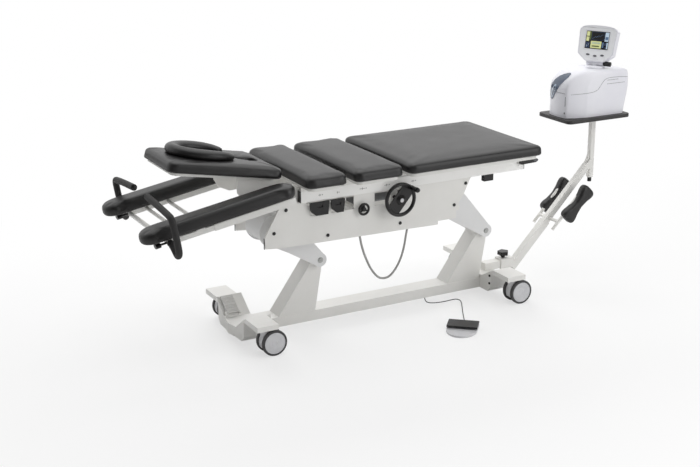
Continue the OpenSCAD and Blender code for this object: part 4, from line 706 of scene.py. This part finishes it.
def makeUnit(c):
    length, width, height = c["length"], c["width"], c["height"]
    arc = [(length * (0.3 + 0.3 * math.cos(math.radians(a))), height * (0.62 + 0.38 * math.sin(math.radians(a))))
           for a in range(180, 89, -10)]
    outline = ([(0, 0)] + [(0, height * 0.62 * k / 5) for k in range(1, 5)] + arc
               + [(length * s, height) for s in (0.45, 0.6, 0.75, 0.88)]
               + [(length * 0.93, height * 0.992), (length * 0.965, height * 0.965),
                  (length * 0.983, height * 0.9), (length * 0.992, height * 0.78), (length, height * 0.6),
                  (length * 0.975, height * 0.4), (length * 0.945, height * 0.2), (length * 0.915, 0)])
    bm = bmesh.new()
    extruded(bm, outline, width)
    bmesh.ops.transform(bm, matrix=Matrix.Translation((0, width / 2, 0)) @ Matrix.Rotation(math.pi / 2, 4, "X"),
                        verts=bm.verts)
    rims = [e for e in bm.edges if abs(e.verts[0].co.y - e.verts[1].co.y) < 1
            and any(v.co.z > 1 for v in e.verts)]
    roundOff(bm, rims, c["edge"], 8)
    cross = [e for e in bm.edges if abs(e.verts[0].co.y - e.verts[1].co.y) > width / 2]
    bmesh.ops.subdivide_edges(bm, edges=cross, cuts=40, use_grid_fill=True)
    for v in bm.verts:
        # the mean over a few millimetres rounds the nose's corners
        start = sum(noseAt(max(abs(v.co.y) + d, 0), c) for d in c["blend"]) / len(c["blend"])
        v.co.x = start + v.co.x * (1 - start / length)
    return piece("unit_shell", bm, unitPlace, "shelf", mouldedAbs, ["unit_housing"], 40)


unitShell = makeUnit(unit)
unitTree = BVHTree.FromObject(unitShell, bpy.context.evaluated_depsgraph_get())


def onShell(spot, direction, lift):
    # a point in the unit's mm, moved along direction until it meets the shell
    inverse = unitPlace.inverted()
    start = unitPlace @ Vector(spot)
    way = (unitPlace.to_3x3() @ Vector(direction)).normalized()
    hit, normal, _, _ = unitTree.ray_cast(start, way)
    if hit is None:
        return None
    return inverse @ (hit + normal * lift / 1000)


def shellLine(name, spots, direction, radius, finish):
    hits = [h for h in (onShell(s, direction, 0) for s in spots) if h is not None]
    mesh = tubeMesh(name, hits, radius, unitPlace, 2)
    dress(name, mesh, "shelf", finish)


def between(a, b, count):
    return [Vector(a).lerp(Vector(b), k / count) for k in range(count + 1)]


# lines on the shell: seam is X and Z on the sides, louvre lines are X, X and Z, the rest are Y and Z on the nose;
# the louvre lines and the long nose line are painted shade, grey lines standing for the shade in those slots
unitLines = {"away": 300, "seamRadius": 0.9, "noseSeam": (-60, 96, 128),
             "seam": [(14, 124), (50, 126), (96, 128), (120, 130), (150, 134), (172, 146), (190, 168), (206, 186),
                      (228, 196), (262, 198), (300, 197), (362, 193)],
             "louvreShades": ((226, 300, 186), (226, 344, 166)),
             "slitShade": ((-62, 62), (-62, 112), 1.6), "socket": ((-60, 22), (-60, 30), 3.4)}


def makeUnitDetails(c):
    away, thin = c["away"], c["seamRadius"]
    # upper shell's lower edge: along the nose, up over the shoulder and back past the louvres
    for name, side in (("near", -1), ("far", 1)):
        seam = smoothRoute([(x, side * away, z) for x, z in c["seam"]], 6)
        shellLine("unit_seam_" + name, seam, (0, -side, 0), thin, slateAbs)
    start, end, level = c["noseSeam"]
    shellLine("unit_seam_nose", [(-away, y, level) for y in range(start, end + 1, 4)], (1, 0, 0), thin, slateAbs)
    # each louvre line is painted shade: a grey line where the slot is dark
    for k, (x0, x1, z) in enumerate(c["louvreShades"]):
        shellLine("unit_louvre_%d" % (k + 1), between((x0, -away, z), (x1, -away, z), 10), (0, 1, 0), thin,
                  slateAbs)
    # the first of these lines is painted shade where the nose's slot is dark; the socket is drawn in the same grey
    for name, steps in (("slitShade", 8), ("socket", 3)):
        low, high, radius = c[name]
        shellLine("unit_" + name, between((-away, *low), (-away, *high), steps), (1, 0, 0), radius, slateAbs)


makeUnitDetails(unitLines)
shelfBoard = {"start": 1399, "length": 410, "width": 272, "top": 878, "thick": 19, "corner": 28, "edge": 2.5,
              "post": 1664, "flange": (45, 4), "pin": (9, 97)}


def makeShelf(c):
    bm = bmesh.new()
    half, end = c["width"] / 2, c["start"] + c["length"]
    extruded(bm, [(c["start"], -half), (end, -half), (end, half), (c["start"], half)], c["thick"])
    corners = [e for e in bm.edges if abs(e.verts[0].co.z - e.verts[1].co.z) > 1]
    roundOff(bm, corners, c["corner"], 8)
    rims = [e for e in bm.edges if abs(e.verts[0].co.z - e.verts[1].co.z) < 0.1]
    roundOff(bm, rims, c["edge"], 3)
    under = c["top"] - c["thick"]
    bmesh.ops.translate(bm, vec=(0, 0, under), verts=bm.verts)
    radius, deep = c["flange"]
    rod(bm, (c["post"], 0, under - deep), (c["post"], 0, under + 1), radius, sides=48)
    radius, deep = c["pin"]
    rod(bm, (c["post"], 0, under - deep), (c["post"], 0, under), radius)
    piece("shelf_board", bm, tablePlace, "shelf", blackLaminate, ["shelf"])


makeShelf(shelfBoard)
# the nose's window, the pale ring in it and the ring's dark middle: width, height over the shell, and the
# middle line's Y and Z
window = {"away": 300, "thick": 2.4,
          "unit_window": (60, 1.6, smokedWindow, [(50, 84), (44, 114), (30, 147), (9, 179), (-16, 203), (-40, 217)]),
          "unit_window_core": (24, 2.3, windowCore, [(42, 96), (37, 120), (26, 145), (12, 166)]),
          "unit_window_slot": (14, 3.0, smokedWindow, [(40, 103), (36, 120), (26, 142), (16, 158)])}


def makeWindow(c):
    # u runs along a window and w across it
    for name in ("unit_window", "unit_window_core", "unit_window_slot"):
        wide, lift, finish, route = c[name]
        spine = smoothRoute([(0, y, z) for y, z in route], 8)
        count = len(spine) - 1
        bm = bmesh.new()
        bmesh.ops.create_grid(bm, x_segments=count, y_segments=8, size=0.5)
        for v in bm.verts:
            u, w = v.co.x + 0.5, v.co.y
            k = min(int(u * count), count - 1)
            spot = spine[k].lerp(spine[k + 1], u * count - k)
            along = (spine[min(k + 1, count)] - spine[k]).normalized()
            square = Vector((0, along.z, -along.y))
            girth = wide * math.sin(math.pi * min(max(u, 0.02), 0.98)) ** 0.5
            v.co = onShell(spot + square * w * girth + Vector((-c["away"], 0, 0)), (1, 0, 0), lift)
        bmesh.ops.recalc_face_normals(bm, faces=bm.faces)
        bmesh.ops.solidify(bm, geom=list(bm.faces), thickness=c["thick"])
        piece(name, bm, unitPlace, "shelf", finish, sharp=60)


makeWindow(window)
print("traction unit made")


display = {"half": 105, "height": 205, "low": 15, "thick": 40, "drop": 10, "corner": 15, "frontEdge": 7,
           "backEdge": 12, "barrel": 46, "barrelRadius": 11, "lugGap": 12.3, "hingePin": (-13, 24, 5)}


def makeDisplay(c):
    half, height = c["half"], c["height"]
    arch = [(half * 0.9 * math.sin(math.radians(a)), height * (0.9 + 0.1 * math.cos(math.radians(a)) ** 0.6))
            for a in range(75, -76, -15)]
    outline = ([(-half * 0.48, c["low"]), (half * 0.48, c["low"]), (half * 0.93, height * 0.26),
                (half, height * 0.88)] + arch + [(-half, height * 0.88), (-half * 0.93, height * 0.26)])
    upright = Matrix.Translation((-c["thick"] / 2, 0, 0)) @ Matrix(
        ((0, 0, 1, 0), (1, 0, 0, 0), (0, 1, 0, 0), (0, 0, 0, 1)))
    bm = bmesh.new()
    extruded(bm, outline, c["thick"])
    bmesh.ops.transform(bm, matrix=upright, verts=bm.verts)
    corners = [e for e in bm.edges if abs(e.verts[0].co.x - e.verts[1].co.x) > c["thick"] / 2]
    roundOff(bm, corners, c["corner"], 6)
    for front, radius in ((True, c["frontEdge"]), (False, c["backEdge"])):
        rims = [e for e in bm.edges if all((v.co.x < 0) == front for v in e.verts)
                and abs(e.verts[0].co.x - e.verts[1].co.x) < 0.1]
        roundOff(bm, rims, radius, 4)
    face = max((f for f in bm.faces if f.normal.x < -0.9), key=lambda f: f.calc_area())
    bmesh.ops.inset_region(bm, faces=[face], thickness=5, depth=0)
    bmesh.ops.inset_region(bm, faces=[face], thickness=1.2, depth=-0.4)
    for f in bm.faces:
        f.material_index = 0
    # the front face takes the face ABS, whose near white colour is painted light
    face.material_index = 1
    thick = c["barrelRadius"]
    for side in (-1, 1):
        inner, outer = sorted((side * c["lugGap"], side * c["barrel"]))
        rod(bm, (0, inner, c["drop"]), (0, outer, c["drop"]), thick)
        box(bm, (-thick, inner, c["drop"]), (thick, outer, c["low"] + c["frontEdge"]))
    start, end, radius = c["hingePin"]
    rod(bm, (0, start, c["drop"]), (0, end, c["drop"]), radius)
    piece("display_shell", bm, facePlace, "display", [mouldedAbs, faceAbsPaintedLight],
          ["display_housing"], 40)


makeDisplay(display)
# a broad round collar on the unit's top, under the display's hinge
neck = {"foot": 51, "rim": 48, "low": -21.6, "top": -12, "lug": (11, 12)}


def makeNeck(c):
    bm = bmesh.new()
    lathe(bm, [(0, c["low"]), (c["foot"], c["low"]), (c["foot"] - 1, c["top"] - 4), (c["rim"], c["top"] - 0.8),
               (c["rim"] - 1.6, c["top"]), (0, c["top"])], Matrix.Identity(4), 64)
    deep, half = c["lug"]
    box(bm, (-deep, -half, c["top"] - 1), (deep, half, 0))
    rod(bm, (0, -half, 0), (0, half, 0), deep)
    piece("display_collar", bm, neckPlace, "display_neck", mouldedAbs, ["display_neck"], 40)


makeNeck(neck)
# clamp knob close under the display's chin, fluted, with a short stem
clampKnob = {"radius": 12.5, "length": 38, "start": -50, "flutes": 12, "flute": 0.55, "edge": 1.6,
             "stem": (-52, -25, 4.6)}


def makeClampKnob(c):
    bm = bmesh.new()
    steps = c["flutes"] * 8
    outline = []
    for k in range(steps):
        a = math.tau * k / steps
        radius = c["radius"] - c["flute"] * (1 - math.cos(a * c["flutes"]))
        outline.append((radius * math.cos(a), radius * math.sin(a)))
    extruded(bm, outline, c["length"])
    rims = [e for e in bm.edges if abs(e.verts[0].co.z - e.verts[1].co.z) < 0.1]
    roundOff(bm, rims, c["edge"], 3)
    upright = Matrix.Translation((0, c["start"], 0)) @ Matrix.Rotation(math.pi / 2, 4, "X")
    bmesh.ops.transform(bm, matrix=upright, verts=bm.verts)
    near, far, stemRadius = c["stem"]
    rod(bm, (0, near, 0), (0, far, 0), stemRadius)
    piece("display_knob_grip", bm, displayPlace, "display_knob", blackNylon, ["display_knob"],
          40)


makeClampKnob(clampKnob)


def screenGlass(name, code, strength):
    # LCD cell behind a thin anti-glare film: it glows a little and its pixel rows make a fine weave
    made = surface(name, (code, code), 0.24, grain=1.5, depth=0.02, patch=40)
    body = made.node_tree.nodes["Principled BSDF"]
    body.inputs["Emission Color"].default_value = colour(code)
    body.inputs["Emission Strength"].default_value = strength
    return made


# the picture: cells are ink, then left, right, low and high as shares of the screen seen from the front
screen = {"size": (130, 94), "middle": 127.5, "front": -20.6, "back": -15, "edge": 1.2,
          "traces": 9, "trace": (3.4, 1.6, 0.9),
          "cells": [("lime", 0.03, 0.15, 0.70, 0.95), ("green", 0.17, 0.22, 0.50, 0.95),
                    ("lime", 0.03, 0.15, 0.42, 0.66), ("navy", 0.02, 0.19, 0.05, 0.36),
                    ("pale", 0.06, 0.10, 0.10, 0.20), ("pale", 0.13, 0.16, 0.18, 0.28),
                    ("navy", 0.245, 0.79, 0.50, 0.96), ("black", 0.26, 0.775, 0.52, 0.94),
                    ("lime", 0.245, 0.70, 0.05, 0.44), ("pale", 0.30, 0.64, 0.29, 0.38),
                    ("green", 0.30, 0.62, 0.12, 0.19), ("pale", 0.82, 0.98, 0.46, 0.96),
                    ("blue", 0.84, 0.96, 0.55, 0.72), ("blue", 0.73, 0.80, 0.10, 0.40),
                    ("navy", 0.83, 0.90, 0.22, 0.38), ("pale", 0.92, 0.98, 0.05, 0.40),
                    ("navy", 0.84, 0.89, 0.06, 0.14)]}


def makeScreen(c):
    wide, tall = c["size"]
    middle, front = c["middle"], c["front"]
    inks = {"black": screenGlass("lcdBlack", "#0b0c10", 0.0), "lime": screenGlass("lcdLime", "#dfe3a4", 0.15),
            "navy": screenGlass("lcdNavy", "#33415f", 0.06), "pale": screenGlass("lcdPale", "#c4d6e6", 0.15),
            "green": screenGlass("lcdGreen", "#5f6d3a", 0.06), "blue": screenGlass("lcdBlue", "#5f7796", 0.08)}
    order = list(inks)
    bm = bmesh.new()

    def printed(low, high, ink):
        # one block of the picture, from Y and Z low to high, standing a hair over the glass
        before = set(bm.faces)
        box(bm, low, high)
        for f in bm.faces:
            if f not in before:
                f.material_index = order.index(ink)

    softBox(bm, (front, -wide / 2, middle - tall / 2), (c["back"], wide / 2, middle + tall / 2), c["edge"], 2)
    for ink, left, right, low, high in c["cells"]:
        layer = 0.35 if ink in ("navy", "lime", "pale") else 0.55
        printed((front - layer, wide * (0.5 - right), middle + tall * (low - 0.5)),
                (front + 0.6, wide * (0.5 - left), middle + tall * (high - 0.5)), ink)
    # the trace on the graph climbs in small waves
    half, thick, layer = c["trace"]
    for k in range(c["traces"]):
        y = wide * (0.5 - 0.30 - 0.05 * k)
        z = middle + tall * (0.58 + 0.03 * (k % 3) + 0.02 * k - 0.5)
        printed((front - layer, y - half, z), (front + 0.6, y + half, z + thick), "blue")
    piece("display_picture", bm, facePlace, "display", list(inks.values()), ["display_screen"], 30)


makeScreen(screen)
# oval keys, then the raised frame round the screen and the ridge below the keys
bezel = {"keys": (("left", 40, 50), ("middle", 0, 45), ("right", -40, 50)), "oval": (0.66, 1.4, 1),
         "keyFront": -22.6, "frameGap": 5, "frameRadius": 1.4, "frameAt": -19,
         "ridge": ((-21, -22, 27), (-18, 22, 31))}


def makeBezel(c, glass):
    for name, y, z in c["keys"]:
        bm = bmesh.new()
        lathe(bm, [(0, -4), (7.2, -4), (7.2, -0.9), (6.3, 0), (3.4, 0.3), (0, 0.1)], Matrix.Identity(4), 40)
        bmesh.ops.scale(bm, vec=c["oval"], verts=bm.verts)
        outward = Matrix.Translation((c["keyFront"], y, z)) @ Matrix.Rotation(-math.pi / 2, 4, "Y")
        bmesh.ops.transform(bm, matrix=outward, verts=bm.verts)
        piece("display_key_" + name, bm, facePlace, "button_" + name, slateAbs, ["display_button_" + name])
    bm = bmesh.new()
    side = glass["size"][0] / 2 + c["frameGap"]
    low, high = (glass["middle"] + s * (glass["size"][1] / 2 + c["frameGap"]) for s in (-1, 1))
    for start, end in (((side, low), (side, high)), ((-side, low), (-side, high)), ((-side, low), (side, low)),
                       ((-side, high), (side, high))):
        rod(bm, (c["frameAt"], *start), (c["frameAt"], *end), c["frameRadius"], sides=12)
    softBox(bm, *c["ridge"], 1.2, 2)
    piece("display_frame", bm, facePlace, "display", mouldedAbs)


makeBezel(bezel, screen)
print("display made")


smallParts = {"tipAt": (1146, -195, 718), "tipSize": (19, 8.6, 9), "capsAt": ((-24, 345), (938, 345)),
              "capFace": 80, "screwFace": 927, "screwsAt": [(y, z) for y in (-141, 141) for z in (78, 119)]}


def makeSmallParts(c):
    bm = bmesh.new()
    made = bmesh.ops.create_uvsphere(bm, u_segments=24, v_segments=12, radius=1)["verts"]
    bmesh.ops.scale(bm, vec=c["tipSize"], verts=made)
    piece("release_lever_tip", bm, placed(*c["tipAt"]), "release_lever", slateAbs)
    bm = bmesh.new()
    for x, z in c["capsAt"]:
        for side in (-1, 1):
            outward = Matrix.Rotation(-side * math.pi / 2, 4, "X")
            lathe(bm, [(0, 0), (10, 0), (10, 1.6), (8.6, 2.8), (4.6, 3), (4, 2.2), (0, 2.2)],
                  Matrix.Translation((x, side * c["capFace"], z)) @ outward, 32)
    piece("pivot_caps", bm, tablePlace, "base", zincSteel)
    # socket screws of the foot cross member, on its face to the head end
    bm = bmesh.new()
    for y, z in c["screwsAt"]:
        lathe(bm, [(0, 0), (6.4, 0), (6.4, 3.2), (5.8, 4), (3, 4), (3, 1.6), (0, 1.6)],
              Matrix.Translation((c["screwFace"], y, z)) @ Matrix.Rotation(-math.pi / 2, 4, "Y"), 24)
    piece("foot_member_screws", bm, tablePlace, "base", blackNylon)


makeSmallParts(smallParts)
# printed marks on both rails at each setting: a bar, crossed by a short upright, beside a block
railMarks = {"face": 180, "ink": 0.25, "level": 702, "bar": 1, "upright": (1, 6), "block": (4, 7, 3),
             "settings": ((-75, 8), (17, 3), (151, 15), (283, 12), (431, 10))}


def makeRailMarks(c):
    bm = bmesh.new()
    level, (narrow, tall), (near, far, high) = c["level"], c["upright"], c["block"]
    for x, long in c["settings"]:
        for side in (-1, 1):
            y0, y1 = sorted((side * c["face"], side * (c["face"] + c["ink"])))
            for x0, x1, rise in ((x - long, x + long, c["bar"]), (x - narrow, x + narrow, tall),
                                 (x + long + near, x + long + far, high)):
                box(bm, (x0, y0, level - rise), (x1, y1, level + rise))
    piece("rail_marks", bm, tablePlace, "platform", padPrint)


makeRailMarks(railMarks)
print("small parts made")


# Finishes of the CAD nodes that stay as they are
finishes = {
    "base_frame": powderCoat, "cross_members": powderCoat, "lower_pins": zincSteel, "cord_gland": blackPvc,
    "foot_switch_base": palePolyamide, "foot_switch_tread": blackNylon, "brake_pedal": pedalRubber,
    "caster_fork_head_near": palePolyamide, "caster_fork_head_far": palePolyamide,
    "caster_fork_foot_near": palePolyamide, "caster_fork_foot_far": palePolyamide,
    "lift_arm_head": powderCoatCool, "lift_arm_foot": powderCoatCool, "lift_actuator": greyPaint,
    "actuator_rod": chromedSteel, "side_rails": railCoat, "platform_frame": powderCoat,
    "side_panel_near": powderCoat, "side_panel_far": powderCoat, "plastic_trim": blackNylon,
    "paddle_lever_head": blackNylon, "paddle_lever_foot": blackNylon, "long_carriage": powderCoat,
    "release_lever": blackNylon, "head_frame": powderCoat, "arm_frame": powderCoat, "arm_slide": powderCoat,
    "grip_knob_near": blackNylon, "grip_knob_far": blackNylon, "lower_mast_tube": powderCoat,
    "t_knob": blackNylon, "upper_mast_tube": powderCoat, "mast_knob": blackNylon,
}
# edges of sheet steel and mouldings are broken by width; faces within flat degrees are joined first
edgeBreak = {"width": 0.9, "flat": 2.0, "corner": 35.0, "weld": 0.01}
for name, finish in finishes.items():
    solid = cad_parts[name]
    solid.data.materials.clear()
    solid.data.materials.append(finish)
    weld = solid.modifiers.new("weld", "WELD")
    weld.merge_threshold = edgeBreak["weld"] / 1000
    flats = solid.modifiers.new("flats", "DECIMATE")
    flats.decimate_type = "DISSOLVE"
    flats.angle_limit = math.radians(edgeBreak["flat"])
    soft = solid.modifiers.new("broken edges", "BEVEL")
    soft.width = edgeBreak["width"] / 1000
    soft.segments = 2
    soft.limit_method = "ANGLE"
    soft.angle_limit = math.radians(edgeBreak["corner"])
    soft.use_clamp_overlap = True
print("finishes given")


# Floor, world and lamps
light = {"world": 0.33, "room": 0.12, "backdrop": 1.2, "sweepFrom": 0.9, "sweepTo": 2.6, "sweepNear": 0.6,
         "aim": (0, 0, 0.6),
         # each lamp's place in metres, its power and its size
         "lamps": {"top": ((0.3, 0.0, 4.6), 105, 5.0), "back": ((0.8, 5.4, 2.9), 300, 5.0),
                   "front": ((3.6, -5.0, 2.6), 128, 4.0)}}


def makeStage(c):
    floor = bpy.data.meshes.new("floor")
    bm = bmesh.new()
    bmesh.ops.create_circle(bm, cap_ends=True, segments=96, radius=60)
    bm.to_mesh(floor)
    bm.free()
    ground = bpy.data.objects.new("floor", floor)
    scene.collection.objects.link(ground)
    paint = bpy.data.materials.new("paleFloor")
    paint.use_nodes = True
    tree = paint.node_tree
    tree.nodes.clear()
    rays = node(tree, "ShaderNodeLightPath").outputs
    matt = node(tree, "ShaderNodeBsdfDiffuse", {"Color": (0.9, 0.9, 0.9, 1)}).outputs["BSDF"]
    sweep = node(tree, "ShaderNodeEmission", {"Strength": 1.0}).outputs["Emission"]
    # the sweep takes over from the floor with the distance from the table, in the camera's view alone
    spot = node(tree, "ShaderNodeTexCoord").outputs["Object"]
    squeezed = node(tree, "ShaderNodeVectorMath", {"operation": "MULTIPLY"}, {0: spot})
    squeezed.inputs[1].default_value = (0.6, 1.0, 0.0)
    away = node(tree, "ShaderNodeVectorMath", {"operation": "LENGTH"}, {0: squeezed.outputs[0]}).outputs["Value"]
    share = node(tree, "ShaderNodeMapRange", {"From Min": c["sweepFrom"], "From Max": c["sweepTo"],
                                              "To Min": c["sweepNear"], "To Max": 1.0,
                                              "interpolation_type": "SMOOTHSTEP"}, {"Value": away})
    seen = node(tree, "ShaderNodeMath", {"operation": "MULTIPLY"}, {0: rays["Is Camera Ray"],
                                                                    1: share.outputs["Result"]}).outputs[0]
    both = node(tree, "ShaderNodeMixShader", links={0: seen, 1: matt, 2: sweep}).outputs["Shader"]
    node(tree, "ShaderNodeOutputMaterial", links={"Surface": both})
    floor.materials.append(paint)
    world = bpy.data.worlds.new("studio")
    scene.world = world
    world.use_nodes = True
    tree = world.node_tree
    tree.nodes.clear()
    rays = node(tree, "ShaderNodeLightPath").outputs
    # reflections see a bright backdrop behind the table and a dimmer room on the viewer's side
    facing = node(tree, "ShaderNodeSeparateXYZ", links={0: node(tree, "ShaderNodeTexCoord").outputs["Generated"]})
    backdrop = node(tree, "ShaderNodeMapRange", {"From Min": -0.35, "From Max": 0.45, "To Min": c["room"],
                                                 "To Max": c["backdrop"]}, {"Value": facing.outputs["Y"]})
    dim = node(tree, "ShaderNodeBackground", {"Color": (1, 1, 1, 1), "Strength": c["world"]})
    seen = node(tree, "ShaderNodeBackground", {"Color": (1, 1, 1, 1)}, {"Strength": backdrop.outputs["Result"]})
    clean = node(tree, "ShaderNodeBackground", {"Color": (1, 1, 1, 1), "Strength": 1.0})
    mix = node(tree, "ShaderNodeMixShader", links={0: rays["Is Glossy Ray"], 1: dim.outputs[0], 2: seen.outputs[0]})
    mix = node(tree, "ShaderNodeMixShader", links={0: rays["Is Camera Ray"], 1: mix.outputs[0], 2: clean.outputs[0]})
    node(tree, "ShaderNodeOutputWorld", links={"Surface": mix.outputs[0]})
    for name, (spot, power, size) in c["lamps"].items():
        lamp = bpy.data.lights.new(name, "AREA")
        lamp.energy = power
        lamp.size = size
        holder = bpy.data.objects.new(name, lamp)
        holder.visible_glossy = name != "back"
        scene.collection.objects.link(holder)
        aim = Vector(c["aim"]) - Vector(spot)
        holder.matrix_world = Matrix.Translation(spot) @ aim.to_track_quat("-Z", "Y").to_matrix().to_4x4()


makeStage(light)

print("scene ready")
